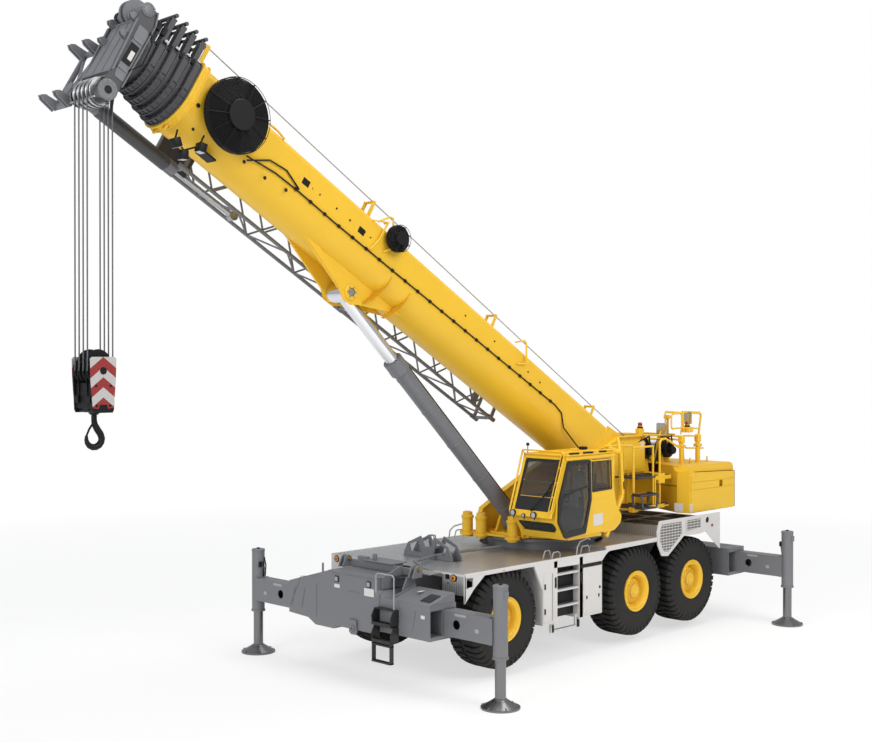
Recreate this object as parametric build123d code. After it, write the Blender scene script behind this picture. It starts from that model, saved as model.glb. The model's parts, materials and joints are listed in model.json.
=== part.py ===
from build123d import *
import math
import os

# Three-axle rough-terrain crane standing on its outriggers, boom raised.
# Millimetres. Modelled about the slewing axis (X forward, Y left, Z up, Z = 0 under the
# outrigger floats), then moved along X so that the origin is midway between its two ends.

# Carrier
AXLE_X = {"1": 2920.0, "2": -880.0, "3": -2790.0}
SIDES = {"left": 1, "right": -1}
HUB_Z = 985.0
TYRE_R = 860.0
TYRE_W = 670.0
TYRE_Y = 1352.0
RIM_R = 394.0
RIM_WALL = 14.0
RIM_SEAT_R = 318.0
KINGPIN_Y = 1150.0
KINGPIN_R = 55.0
HUB_R = 190.0
FIT = 8.0
SKIN = 12.0
DECK_HALF_W = 1686.0
DECK_Z = 1880.0
DECK_FRONT_X = 3970.0
DECK_STEP_X = 110.0
REAR_DECK_Z = 1950.0
COVER_FRONT_X = -1530.0
COVER_Z = 2150.0
SIDE_PANEL_TOP_Z = 2268.0
DECK_REAR_X = -3800.0
FRONT_SKIRT = [(DECK_FRONT_X, DECK_Z), (DECK_FRONT_X, 1390), (3740, 1620), (3480, 1815), (2190, 1815)]
FRONT_SKIRT += [(1965, 1375), (1965, 1730), (250, 1700), (130, 1800), (50, 1850), (50, DECK_Z)]
FRONT_LOCKER_X = (1660.0, 1964.7)
REAR_LOCKER_X = (250.0, 925.0)
LOCKER_D = 500.0
LOCKER_BOTTOM_Z = 735.0
TREAD_Z = (1000.0, 1290.0, 1580.0)
LOW_STEP_Z = 560.0
FRAME_HALF_W = 500.0
FRAME_BOTTOM_Z = 1290.0
FRAME_TOP_Z = 1800.0
RING_R = 1050.0
RING_TOP_Z = 2089.5

# Outriggers: one beam slot behind the other in each box
BOX_HALF_L = 1780.0
BOX_BOTTOM_Z = 925.0
BOX_TOP_Z = 1490.0
BOX_WALL = 22.0
BEAM_D = 264.0
BEAM_PITCH = 295.0
BEAM_BOTTOM_Z = 985.0
BEAM_TOP_Z = 1400.0
BEAM_WALL = 16.0
BEAM_L = 3250.0
FRONT_LEFT_JACK_X = 4434.0
REAR_LEFT_JACK_X = -4434.0
JACK_Y = 2887.0
JACK_TUBE_R = 118.0
JACK_TUBE_BOTTOM_Z = 768.0
JACK_TUBE_TOP_Z = 1910.0
JACK_ROD_R = 88.0
JACK_ROD_TOP_Z = 1220.0
JACK_CLEAR = 0.4
FLOAT_R = 312.0
FLOAT_RIM_H = 22.0
FLOAT_H = 140.0

# Superstructure
TABLE_Z = 2090.0
TABLE_T = 70.0
PLATE_IN_Y = 520.0
PLATE_OUT_Y = 560.0
FOOT_X, FOOT_Z = -2250.0, 3585.0
FOOT_PIN_R = 90.0
CYL_FOOT_X, CYL_FOOT_Z = 781.0, 2334.0
WINCHES = {"main": (-2835.0, 3540.0), "aux": (-3650.0, 3520.0)}
WINCH_R = 210.0
WINCH_FLANGE_R = 300.0
WINCH_HALF_L = 380.0
CW_FRONT_X = -2860.0
CW_REAR_X = -4610.0
CW_HALF_W = 1535.0
CW_BOTTOM_Z = 2300.0
CW_TOP_Z = 3250.0

# Cab
CAB_IN_Y = 690.0
CAB_OUT_Y = 1655.0
CAB_WALL = 45.0
GLASS_T = 8.0
DOOR_Y = 1662.0
DOOR_T = 34.0

# Boom, in its own frame: s along the boom from the foot pin, n square to it
ELEVATION = 30.0
BASE_HALF_W = 490.0
BASE_TOP_N = 80.0
BASE_BOTTOM_N = -935.0
SECTION_STEP = 34.0
SECTION_WALL = 12.0
TOP_CORNER_R = 120.0
BASE_REAR_S = -420.0
BASE_FRONT_S = 12160.0
COLLAR_PITCH = 190.0
COLLAR_L = 120.0
COLLAR_PROUD = 40.0
PAD_PROUD = SECTION_STEP - SECTION_WALL - 0.5
SECTION_REAR_S = 700.0
HEAD_S = 13290.0
NOSE_SHEAVE = (13250.0, -1190.0)
TOP_SHEAVE = (13300.0, 215.0)
SHEAVE_R = 210.0
SHEAVE_W = 52.0
SHEAVE_PITCH = 112.0
SHEAVE_PIN_R = 60.0
LIFT_PIN = (7939.0, -1154.0)
LIFT_PIN_R = 70.0
LIFT_EYE_R = 165.0
LIFT_EYE_HALF_W = 180.0
BARREL_L = 4480.0
BARREL_R = 152.0
BARREL_BORE_R = 124.0
ROD_R = 117.0
ROD_L = 4660.0
REEL = (11430.0, -270.0)
REEL_R = 580.0
REEL_IN_Y = 540.0
REEL_W = 230.0
CABLE_REEL = (7750.0, 10.0)
CABLE_REEL_R = 235.0
BLOCK_Z = 5080.0
BLOCK_HALF_W = 200.0
BLOCK_HALF_H = 400.0
HOOK_SWIVEL_Z = 4640.0
FALL_R = 11.0
GROOVE_SEAT = 11.4
FALL_COUNT = 4

out = {}


def block(x, y, z):
    """A box from three (low, high) ranges."""
    size = (x[1] - x[0], y[1] - y[0], z[1] - z[0])
    return Pos(sum(x) / 2, sum(y) / 2, sum(z) / 2) * Box(*size)


def bar(a, b, r):
    """A round bar from point a to point b."""
    way = Vector(*b) - Vector(*a)
    return Plane(origin=a, z_dir=way) * extrude(Circle(r), way.length)


def tube(a, b, r, bore):
    way = Vector(*b) - Vector(*a)
    return Plane(origin=a, z_dir=way) * extrude(Circle(r) - Circle(bore), way.length)


def across(points, y):
    """An XZ outline carried from y[0] to y[1]."""
    side = Plane(origin=(0, y[0], 0), x_dir=(1, 0, 0), z_dir=(0, -1, 0))
    return side * extrude(make_face(Polyline(*points, close=True)), -(y[1] - y[0]))


def upright(points, z):
    """An XY outline carried from z[0] to z[1]."""
    return Pos(0, 0, z[0]) * extrude(make_face(Polyline(*points, close=True)), z[1] - z[0])


def along(points, x):
    """A YZ outline carried from x[0] to x[1]."""
    front = Plane(origin=(x[0], 0, 0), x_dir=(0, 1, 0), z_dir=(1, 0, 0))
    return front * extrude(make_face(Polyline(*points, close=True)), x[1] - x[0])


def turned(points, centre):
    """A solid of revolution about an axis along Y; points are (r, y)."""
    outline = Plane.XY * make_face(Polyline(*points, close=True))
    return Pos(*centre) * revolve(outline, Axis.Y)


def mirrored(shape):
    return mirror(shape, Plane.XZ)


def both(shape):
    return shape + mirrored(shape)


def moved_boom(shape):
    """From the boom's own frame to its place at the rest elevation."""
    return Pos(FOOT_X, 0, FOOT_Z) * Rot(0, -ELEVATION, 0) * shape


def boom_point(s, n):
    a = math.radians(ELEVATION)
    return (FOOT_X + s * math.cos(a) - n * math.sin(a), FOOT_Z + s * math.sin(a) + n * math.cos(a))


# Lift cylinder: its angle and length follow from the two pins
LIFT_X, LIFT_Z = boom_point(*LIFT_PIN)
LIFT_L = math.hypot(LIFT_X - CYL_FOOT_X, LIFT_Z - CYL_FOOT_Z)
LIFT_ANGLE = math.degrees(math.atan2(LIFT_Z - CYL_FOOT_Z, LIFT_X - CYL_FOOT_X))


def moved_cylinder(shape):
    return Pos(CYL_FOOT_X, 0, CYL_FOOT_Z) * Rot(0, -LIFT_ANGLE, 0) * shape


# Carrier frame: two side girders closed by a top and a bottom plate
def chassis_frame():
    rear_x = REAR_LEFT_JACK_X + BEAM_PITCH + BEAM_D / 2 + BOX_WALL
    front_x = FRONT_LEFT_JACK_X - BEAM_D / 2 - BOX_WALL
    girder_y = (FRAME_HALF_W - 30, FRAME_HALF_W)
    girder = [(rear_x, FRAME_BOTTOM_Z - 150), (rear_x, FRAME_TOP_Z), (front_x, FRAME_TOP_Z)]
    girder += [(front_x, FRAME_BOTTOM_Z - 150), (front_x - 500, FRAME_BOTTOM_Z), (rear_x + 500, FRAME_BOTTOM_Z)]
    frame = both(across(girder, girder_y))
    frame += block((rear_x, front_x), (-FRAME_HALF_W, FRAME_HALF_W), (FRAME_TOP_Z - 20, FRAME_TOP_Z))
    frame += block((rear_x + 500, front_x - 500), (-FRAME_HALF_W, FRAME_HALF_W), (FRAME_BOTTOM_Z, FRAME_BOTTOM_Z + 20))
    for x in (1500.0, -1500.0):
        frame += block((x, x + 20), (-FRAME_HALF_W, FRAME_HALF_W), (FRAME_BOTTOM_Z, FRAME_TOP_Z))
    # Slewing ring on its drum
    frame += Pos(0, 0, FRAME_TOP_Z - 10) * extrude(Circle(RING_R) - Circle(RING_R - 140), RING_TOP_Z - FRAME_TOP_Z + 10)
    frame += Pos(0, 0, RING_TOP_Z - 75) * extrude(Circle(RING_R + 130) - Circle(RING_R - 20), 55)
    # Boom rest: a gallows with a vee in its top
    rest_x = (2900.0, 3160.0)
    vee = [(-620, FRAME_TOP_Z - 10), (620, FRAME_TOP_Z - 10), (600, 1960), (500, 2130), (178, 2270)]
    vee += [(72, 2085), (-72, 2085), (-178, 2270), (-500, 2130), (-600, 1960)]
    rest = along(vee, (rest_x[0], rest_x[0] + 25)) + along(vee, (rest_x[1] - 25, rest_x[1]))
    rest -= both(along([(215, 2185), (470, 2095), (430, 1975), (150, 1975)], rest_x))
    frame += rest
    frame += block(rest_x, (-500, 500), (FRAME_TOP_Z - 10, FRAME_TOP_Z + 50)) + block(rest_x, (-60, 60), (2045, 2085))
    return frame


def box_profile(raised):
    """End view of the front box, or of the plain rear one."""
    if not raised:
        top = [(BOX_HALF_L, BOX_TOP_Z), (700, BOX_TOP_Z), (520, 1560), (-520, 1560), (-700, BOX_TOP_Z)]
        low = [(-BOX_HALF_L, BOX_TOP_Z), (-BOX_HALF_L, BOX_BOTTOM_Z), (BOX_HALF_L, BOX_BOTTOM_Z)]
        return top + low
    top = [(BOX_HALF_L, BOX_TOP_Z), (700, 1500), (540, 1600), (540, 1795), (-690, 1795)]
    low = [(-BOX_HALF_L, BOX_TOP_Z), (-BOX_HALF_L, BOX_BOTTOM_Z), (-1250, 900), (-1050, 800)]
    return top + low + [(-560, 800), (-460, 860), (420, 860), (620, BOX_BOTTOM_Z), (BOX_HALF_L, BOX_BOTTOM_Z)]


def slots(left_x):
    z = (BEAM_BOTTOM_Z - 0.5, BEAM_TOP_Z + FIT)
    half = BEAM_D / 2 + FIT
    cut = block((left_x - half, left_x + half), (-BOX_HALF_L - 1, BOX_HALF_L + 1), z)
    return cut + block((left_x + BEAM_PITCH - half, left_x + BEAM_PITCH + half), (-BOX_HALF_L - 1, BOX_HALF_L + 1), z)


def outrigger_boxes():
    boxes = None
    for left_x, raised in ((FRONT_LEFT_JACK_X, True), (REAR_LEFT_JACK_X, False)):
        x = (left_x - BEAM_D / 2 - BOX_WALL, left_x + BEAM_PITCH + BEAM_D / 2 + BOX_WALL)
        body = along(box_profile(raised), x) - slots(left_x)
        boxes = body if boxes is None else boxes + body
    return boxes


def beam(left_x, side):
    """Box beam with its jack tube at the outer end."""
    x = left_x if side > 0 else left_x + BEAM_PITCH
    inner_y = JACK_Y - BEAM_L
    outside = block((x - BEAM_D / 2, x + BEAM_D / 2), (inner_y, JACK_Y - 60), (BEAM_BOTTOM_Z, BEAM_TOP_Z))
    half = BEAM_D / 2 - BEAM_WALL
    inside = block((x - half, x + half), (inner_y - 1, JACK_Y - 150), (BEAM_BOTTOM_Z + BEAM_WALL, BEAM_TOP_Z - BEAM_WALL))
    hole = bar((x - BEAM_D, 2060, 1195), (x + BEAM_D, 2060, 1195), 78)
    post = bar((x, JACK_Y, JACK_TUBE_BOTTOM_Z), (x, JACK_Y, JACK_TUBE_TOP_Z), JACK_TUBE_R)
    bore = bar((x, JACK_Y, JACK_TUBE_BOTTOM_Z - 1), (x, JACK_Y, JACK_TUBE_TOP_Z - 20), JACK_ROD_R + JACK_CLEAR)
    shape = outside - inside - hole + post - bore
    return shape if side > 0 else mirrored(shape)


def jack(left_x, side):
    """Jack rod on its float."""
    x = left_x if side > 0 else left_x + BEAM_PITCH
    outline = [(0, 0), (FLOAT_R, 0), (FLOAT_R, FLOAT_RIM_H), (150, FLOAT_H - 25), (110, FLOAT_H)]
    outline += [(JACK_ROD_R, FLOAT_H), (JACK_ROD_R, JACK_ROD_TOP_Z), (0, JACK_ROD_TOP_Z)]
    shape = Pos(x, JACK_Y, 0) * revolve(Plane.XZ * make_face(Polyline(*outline, close=True)), Axis.Z)
    return shape if side > 0 else mirrored(shape)


# Deck plates, skirts, lockers, steps and the engine cover behind
def deck_and_fenders():
    w = DECK_HALF_W
    deck = block((DECK_STEP_X, DECK_FRONT_X), (-w, w), (DECK_Z - SKIN, DECK_Z))
    deck += block((COVER_FRONT_X, DECK_STEP_X), (-w, w), (REAR_DECK_Z - SKIN, REAR_DECK_Z))
    deck += block((DECK_STEP_X - SKIN, DECK_STEP_X), (-w, w), (DECK_Z - SKIN, REAR_DECK_Z))
    deck -= Pos(0, 0, FRAME_TOP_Z) * extrude(Circle(RING_R + 160), 400)
    deck -= block((2880, 3180), (-640, 640), (FRAME_TOP_Z, 2000))
    deck += block((DECK_REAR_X, COVER_FRONT_X - 180), (-w + 26, w - 26), (COVER_Z - SKIN, COVER_Z))
    deck += block((COVER_FRONT_X - 180, COVER_FRONT_X - 180 + SKIN), (-w + 26, w - 26), (REAR_DECK_Z - 40, COVER_Z))
    deck += block((COVER_FRONT_X - 180, COVER_FRONT_X), (-w, w), (REAR_DECK_Z - SKIN, REAR_DECK_Z))
    skirt_y = (w - 26, w)
    edge = [(DECK_STEP_X, REAR_DECK_Z), (DECK_STEP_X, 1830), (0, 1860), (COVER_FRONT_X, 1880), (COVER_FRONT_X, REAR_DECK_Z)]
    panel = [(COVER_FRONT_X, 2050), (COVER_FRONT_X - 90, SIDE_PANEL_TOP_Z), (DECK_REAR_X, SIDE_PANEL_TOP_Z)]
    panel += [(DECK_REAR_X, 1519), (-3270, 1921), (-3047, 1890), (-2463, 1897), (-1900, 1554), (-1693, 1577)]
    panel += [(-1556, 1808)]
    window = [(3930, 1815), (3765, 1805), (3765, 1655), (3930, 1640)]
    front_skirt = across(FRONT_SKIRT, skirt_y) - across(window, (w - 40, w + 10))
    skins = front_skirt + across(edge, skirt_y) + across(panel, skirt_y)
    deck += both(skins)
    # Outriggers of the deck: cross bearers that tie the skirts to the frame
    locker_y = w - LOCKER_D - 0.3
    bearers = ((3700.0, FRAME_HALF_W + 0.3, w - 20), (1800.0, FRAME_HALF_W + 0.3, locker_y), (500.0, RING_R, locker_y))
    for x, inner_y, outer_y in bearers:
        deck += both(block((x, x + 60), (inner_y, outer_y), (FRAME_TOP_Z - 60, DECK_Z - 5)))
    for x in (-1480.0, -3640.0):
        deck += both(block((x, x + 60), (FRAME_HALF_W + 0.3, w - 20), (1900 - 20, REAR_DECK_Z - 5)))
        deck += both(block((x, x + 60), (FRAME_HALF_W + 0.3, FRAME_HALF_W + 90), (FRAME_TOP_Z - 90, REAR_DECK_Z - 5)))
    deck += block((DECK_REAR_X, DECK_REAR_X + SKIN), (-w + 26, w - 26), (1880, COVER_Z))
    return deck


def step_lockers(side):
    """Two lockers under the deck, the treads between them and the step hung below."""
    w = DECK_HALF_W
    top_z = DECK_Z - SKIN - 0.3
    shape = block(FRONT_LOCKER_X, (w - LOCKER_D, w), (LOCKER_BOTTOM_Z, top_z))
    shape += block(REAR_LOCKER_X, (w - LOCKER_D, w), (LOCKER_BOTTOM_Z, top_z))
    shape -= Pos(0, 0, -0.3) * across(FRONT_SKIRT, (w - 26.3, w + 1))
    inner, outer = REAR_LOCKER_X[1], FRONT_LOCKER_X[0]
    for z in TREAD_Z:
        shape += block((inner - 10, outer + 10), (w - 190, w - 20), (z, z + 30))
    for x in ((inner, inner + 40), (outer - 35, outer + 5)):
        shape += block(x, (w - 100, w - 65), (LOW_STEP_Z, LOCKER_BOTTOM_Z + 65))
    shape += block((inner, outer + 5), (w - 100, w - 65), (LOW_STEP_Z, LOW_STEP_Z + 35))
    return shape if side > 0 else mirrored(shape)


def engine_block():
    return block((-3550, -2200), (-380, 380), (FRAME_TOP_Z + 0.3, 2110))


def axles():
    """Axle housings with differential, between the knuckles."""
    shape = None
    for x in AXLE_X.values():
        beam_y = KINGPIN_Y - 150
        profile = [(0, -beam_y), (105, -beam_y), (105, -330), (230, -150), (230, 150), (105, 330), (105, beam_y), (0, beam_y)]
        one = turned(profile, (x, 0, HUB_Z))
        yoke = [(x - 75, HUB_Z - 265), (x + 75, HUB_Z - 265), (x + 75, HUB_Z + 265), (x - 75, HUB_Z + 265)]
        one += both(across(yoke, (beam_y - 60, beam_y)))
        for z in (HUB_Z - 265, HUB_Z + 205):
            one += both(block((x - 75, x + 75), (beam_y - 60, KINGPIN_Y + 70), (z, z + 60)))
            one += both(bar((x, KINGPIN_Y, z), (x, KINGPIN_Y, z + 60), 80))
        for px in (x - 160, x + 100):
            one += both(block((px, px + 60), (250, 300), (HUB_Z, FRAME_BOTTOM_Z - 0.3)))
        one += block((x - 160, x + 160), (-300, 300), (HUB_Z - 60, HUB_Z + 60))
        shape = one if shape is None else shape + one
    return shape


def knuckle(x, side):
    """Steering knuckle: kingpin boss between the yoke's ears and the hub that carries the wheel."""
    low, high = HUB_Z - 205 + 0.5, HUB_Z + 205 - 0.5
    shape = bar((x, KINGPIN_Y, low), (x, KINGPIN_Y, high), 70)
    shape += bar((x, KINGPIN_Y - 60, HUB_Z), (x, KINGPIN_Y + 110, HUB_Z), HUB_R)
    shape += bar((x, KINGPIN_Y, HUB_Z), (x, TYRE_Y + TYRE_W / 2 - 75.3, HUB_Z), HUB_R - 52)
    return shape if side > 0 else mirrored(shape)


def tyre(x, side):
    h = TYRE_W / 2
    profile = [(RIM_SEAT_R, -h + 75), (RIM_R + 6, -h + 40), (RIM_R + 36, -h + 10), (560, -h), (700, -h + 8), (800, -h + 45), (850, -h + 120)]
    profile += [(TYRE_R, -h + 230), (TYRE_R, h - 230), (850, h - 120), (800, h - 45), (700, h - 8), (560, h)]
    profile += [(RIM_R + 36, h - 10), (RIM_R + 6, h - 40), (RIM_SEAT_R, h - 75)]
    return turned(profile, (x, side * TYRE_Y, HUB_Z))


def rim(x, side):
    """Dished disc wheel inside its tyre, with flanges both sides."""
    h = TYRE_W / 2
    seat = RIM_SEAT_R - 0.3
    profile = [(seat, -h + 74), (seat, h - 74), (RIM_R, h - 41.5), (RIM_R, h - 18), (seat - 20, h - 30), (seat - 20, h - 90)]
    profile += [(250, h - 120), (235, h - 60), (150, h - 45), (0, h - 45), (0, h - 75), (140, h - 75)]
    profile += [(215, h - 95), (235, h - 150), (seat - 22, h - 150), (seat - 22, -h + 80), (seat - 22, -h + 30), (RIM_R, -h + 18), (RIM_R, -h + 41.5)]
    shape = turned(profile, (x, TYRE_Y, HUB_Z))
    return shape if side > 0 else mirrored(shape)


# Superstructure
def turntable_frame():
    base = Pos(0, 0, TABLE_Z) * extrude(Circle(1180), TABLE_T)
    base -= Pos(0, 0, TABLE_Z - 1) * extrude(Circle(500), TABLE_T + 2)
    plate = [(1180, TABLE_Z), (1250, 2330), (1150, 2560), (700, 2790), (-1750, 3860), (-2560, 3860), (-2660, 3700)]
    plate += [(-2680, 3120), (-4300, 2960), (-4300, 2420), (-2200, 2380), (-1250, 2330), (-1000, TABLE_Z)]
    frame = base + both(across(plate, (PLATE_IN_Y, PLATE_OUT_Y)))
    # Cross plates: floor behind the cylinder, back wall and winch bed
    frame += block((-1600, -1560), (-PLATE_IN_Y, PLATE_IN_Y), (2350, 2560))
    frame += block((-4300, -1000), (-PLATE_IN_Y, PLATE_IN_Y), (2420, 2450))
    frame += block((-4300, -2700), (-PLATE_IN_Y, PLATE_IN_Y), (2960, 2990))
    frame += block((-4300, -4270), (-PLATE_IN_Y, PLATE_IN_Y), (2420, 2990))
    # Cheeks that carry the lift cylinder's pin
    ear = [(350, TABLE_Z), (1120, TABLE_Z), (CYL_FOOT_X + 170, CYL_FOOT_Z + 130), (CYL_FOOT_X, CYL_FOOT_Z + 190)]
    ear += [(CYL_FOOT_X - 170, CYL_FOOT_Z + 130)]
    frame += both(across(ear, (LIFT_EYE_HALF_W + 12, LIFT_EYE_HALF_W + 62)))
    frame -= bar((CYL_FOOT_X, -400, CYL_FOOT_Z), (CYL_FOOT_X, 400, CYL_FOOT_Z), LIFT_PIN_R + 0.08)
    frame -= bar((FOOT_X, -700, FOOT_Z), (FOOT_X, 700, FOOT_Z), FOOT_PIN_R + 0.08)
    # Winch brackets on the bed
    for x, z in WINCHES.values():
        cheek = [(x - 230, 2985), (x + 230, 2985), (x + 90, z + 60), (x - 90, z + 60)]
        frame += both(across(cheek, (WINCH_HALF_L + 20, WINCH_HALF_L + 50)))
        frame -= bar((x, -600, z), (x, 600, z), 70.08)
    # Cab carrier arm and the slewing gearboxes on their lugs
    arm = [(150, TABLE_Z + TABLE_T - 5), (1150, TABLE_Z + TABLE_T - 5), (1150, 2198), (150, 2239.7)]
    frame += across(arm, (PLATE_OUT_Y - 10, CAB_OUT_Y - 60))
    frame += block((150, 900), (300, 800), (TABLE_Z + TABLE_T - 5, TABLE_Z + TABLE_T + 25))
    for y in (-760, -400, 400):
        frame += bar((1300, y, TABLE_Z - 60), (1300, y, TABLE_Z + 330), 105)
        frame += bar((1300, y, TABLE_Z - 20), (1300, y, TABLE_Z + 40), 150)
    frame += block((1000, 1300), (-800, 450), (TABLE_Z, TABLE_Z + 40))
    return frame + upper_walkway()


def winch(name):
    x, z = WINCHES[name]
    h = WINCH_HALF_L
    profile = [(0, -h - 55), (70, -h - 55), (70, -h + 5), (WINCH_FLANGE_R, -h + 5), (WINCH_FLANGE_R, -h + 30), (WINCH_R, -h + 30)]
    profile += [(WINCH_R, h - 30), (WINCH_FLANGE_R, h - 30), (WINCH_FLANGE_R, h - 5), (70, h - 5), (70, h + 55), (0, h + 55)]
    return turned(profile, (x, 0, z))


def counterweight():
    side = [(CW_FRONT_X, CW_BOTTOM_Z), (CW_REAR_X, CW_BOTTOM_Z), (CW_REAR_X - 10, CW_TOP_Z - 90), (CW_REAR_X + 45, CW_TOP_Z)]
    side += [(CW_FRONT_X - 60, CW_TOP_Z), (CW_FRONT_X - 20, CW_TOP_Z - 100), (CW_FRONT_X + 20, CW_TOP_Z - 100), (CW_FRONT_X + 20, CW_BOTTOM_Z)]
    weight = across(side, (-CW_HALF_W, CW_HALF_W))
    # Seen from above its front runs back to the winches, and its corners are cut
    half = [(CW_FRONT_X + 20, 1270), (CW_FRONT_X - 40, CW_HALF_W), (CW_REAR_X - 20, CW_HALF_W - 35)]
    plan = [(-3200, 560)] + half + [(x, -y) for x, y in reversed(half)] + [(-3200, -560)]
    weight &= upright(plan, (CW_BOTTOM_Z - 1, CW_TOP_Z + 1))
    weight -= block((-4310, CW_FRONT_X + 10), (-PLATE_OUT_Y - 0.3, PLATE_OUT_Y + 0.3), (CW_BOTTOM_Z - 1, CW_TOP_Z + 1))
    weight -= block((-4120, -3980), (CW_HALF_W - 60, CW_HALF_W + 1), (2780, 2920))
    weight -= block((-4120, -3980), (-CW_HALF_W - 1, -CW_HALF_W + 60), (2780, 2920))
    return weight


def upper_walkway():
    """Steps and handrails beside the winches, left side."""
    y0, y1 = PLATE_OUT_Y - 10, 1120.0
    deck = block((-2760, -1500), (y0, y1), (2440, 2470)) + block((-2840, -2300), (y0, y1), (3020, 3050))
    deck += block((-2300, -2270), (y0, y1), (2440, 3050))
    for x, top in ((-1560.0, 3700.0), (-2240.0, 3700.0)):
        deck += bar((x, y1 - 30, 2450), (x, y1 - 30, top), 21)
    deck += bar((-1560, y1 - 30, 3690), (-2240, y1 - 30, 3690), 21)
    return deck


# Cab: a hollow shell with a sliding door on its left side
CAB_SIDE = [(1350, 2190), (1575, 2520), (1550, 2930), (1275, 3690), (-120, 3705), (-155, 3044), (-290, 2500), (150, 2240)]
DOOR_SIDE = [(1255, 3600), (600, 3600), (570, 2860), (745, 2262), (1340, 2215), (1535, 2525), (1510, 2925)]
REAR_WINDOW = [(520, 3590), (-60, 3590), (-90, 3020), (500, 3000)]


def scaled_in(points, wall):
    """The outline drawn in by a wall's thickness."""
    face = make_face(Polyline(*points, close=True))
    return offset(face, -wall)


def across_face(face, y):
    side = Plane(origin=(0, y[0], 0), x_dir=(1, 0, 0), z_dir=(0, -1, 0))
    return side * extrude(face, -(y[1] - y[0]))


def cab_shell():
    shell = across(CAB_SIDE, (CAB_IN_Y, CAB_OUT_Y))
    shell -= across_face(scaled_in(CAB_SIDE, CAB_WALL), (CAB_IN_Y + CAB_WALL, CAB_OUT_Y - CAB_WALL))
    door_way = across_face(scaled_in(DOOR_SIDE, 55), (CAB_OUT_Y - 120, CAB_OUT_Y + 10))
    windows = across_face(scaled_in(REAR_WINDOW, 20), (CAB_OUT_Y - 120, CAB_OUT_Y + 10))
    right = [(1230, 3560), (-60, 3580), (-90, 2900), (1440, 2900)]
    windows += across(right, (CAB_IN_Y - 10, CAB_IN_Y + 120))
    windows += block((1250, 1700), (CAB_IN_Y + 90, CAB_OUT_Y - 75), (2960, 3590)) + block((1400, 1700), (CAB_IN_Y + 110, CAB_OUT_Y - 120), (2320, 2480))
    windows += block((-250, 0), (CAB_IN_Y + 110, CAB_OUT_Y - 110), (3080, 3560))
    windows += block((150, 1080), (CAB_IN_Y + 130, CAB_OUT_Y - 130), (3600, 3800))
    # Runner rails behind the sliding door
    rails = block((-80, 1200), (CAB_OUT_Y - 5, DOOR_Y - 0.3), (3565, 3590)) + block((60, 700), (CAB_OUT_Y - 5, DOOR_Y - 0.3), (2850, 2872))
    return shell - door_way - windows + rails


def pane(points, y):
    return across(points, (y, y + GLASS_T))


def cab_windows():
    """Panes, each set in its opening."""
    glass = across_face(scaled_in(REAR_WINDOW, 20.3), (CAB_OUT_Y - 30, CAB_OUT_Y - 30 + GLASS_T))
    right = [(1229.7, 3559.7), (-59.7, 3579.7), (-89.7, 2900.3), (1439.6, 2900.3)]
    glass += pane(right, CAB_IN_Y + 20)
    y = (CAB_IN_Y + 90.3, CAB_OUT_Y - 75.3)
    front = [(1539, 2963), (1531, 2963), (1305, 3588), (1313, 3588)]
    glass += across(front, y)
    glass += across([(1412, 2320.3), (1404, 2320.3), (1512, 2479.7), (1520, 2479.7)], (CAB_IN_Y + 110.3, CAB_OUT_Y - 120.3))
    glass += across([(-146, 3083), (-138, 3083), (-110, 3558), (-118, 3558)], (CAB_IN_Y + 110.3, CAB_OUT_Y - 110.3))
    glass += block((150.3, 1079.7), (CAB_IN_Y + 130.3, CAB_OUT_Y - 130.3), (3670, 3678))
    return glass


def cab_interior():
    """Seat on its console."""
    y = (1020.0, 1420.0)
    seat = block((150, 700), (960, 1440), (2220, 2560)) + block((180, 680), y, (2560, 2700))
    back = [(180, 2690), (330, 2690), (180, 3300), (60, 3300)]
    seat += across(back, y)
    seat += block((330, 640), (900, 985), (2560, 2860)) + block((330, 640), (1455, 1540), (2560, 2860))
    seat += block((260, 640), (900, 1540), (2500, 2565))
    column = [(1050, 2220), (1200, 2220), (1080, 2800), (1010, 2800)]
    seat += across(column, (1180, 1260))
    return seat & across_face(scaled_in(CAB_SIDE, CAB_WALL + 0.3), (CAB_IN_Y, CAB_OUT_Y))


def cab_door():
    frame = across(DOOR_SIDE, (DOOR_Y, DOOR_Y + DOOR_T))
    return frame - across_face(scaled_in(DOOR_SIDE, 62), (DOOR_Y - 1, DOOR_Y + DOOR_T + 1))


def cab_door_glass():
    return across_face(scaled_in(DOOR_SIDE, 62.3), (DOOR_Y + 12, DOOR_Y + 12 + GLASS_T))


# Boom sections: flat top and sides on a half-round belly
def section_face(level, proud=0.0):
    """Outline of one section, or of its collar, in the plane square to the boom."""
    inset = SECTION_STEP * level - proud
    w = BASE_HALF_W - inset
    top = BASE_TOP_N - inset
    belly = BASE_BOTTOM_N + inset + w
    r = TOP_CORNER_R - inset * 0.5
    with BuildSketch(Plane.YZ) as sketch:
        with BuildLine():
            Line((w, belly), (w, top - r))
            RadiusArc((w, top - r), (w - r, top), -r)
            Line((w - r, top), (-w + r, top))
            RadiusArc((-w + r, top), (-w, top - r), -r)
            Line((-w, top - r), (-w, belly))
            RadiusArc((-w, belly), (w, belly), -w)
        make_face()
    return sketch.sketch


def section_tube(level, s, proud=0.0, bore_level=None):
    outer = Pos(s[0], 0, 0) * extrude(section_face(level, proud), s[1] - s[0])
    inset = SECTION_WALL if bore_level is None else 0
    hole = section_face(level, -inset) if bore_level is None else section_face(bore_level)
    return outer - Pos(s[0] - 1, 0, 0) * extrude(hole, s[1] - s[0] + 2)


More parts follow.
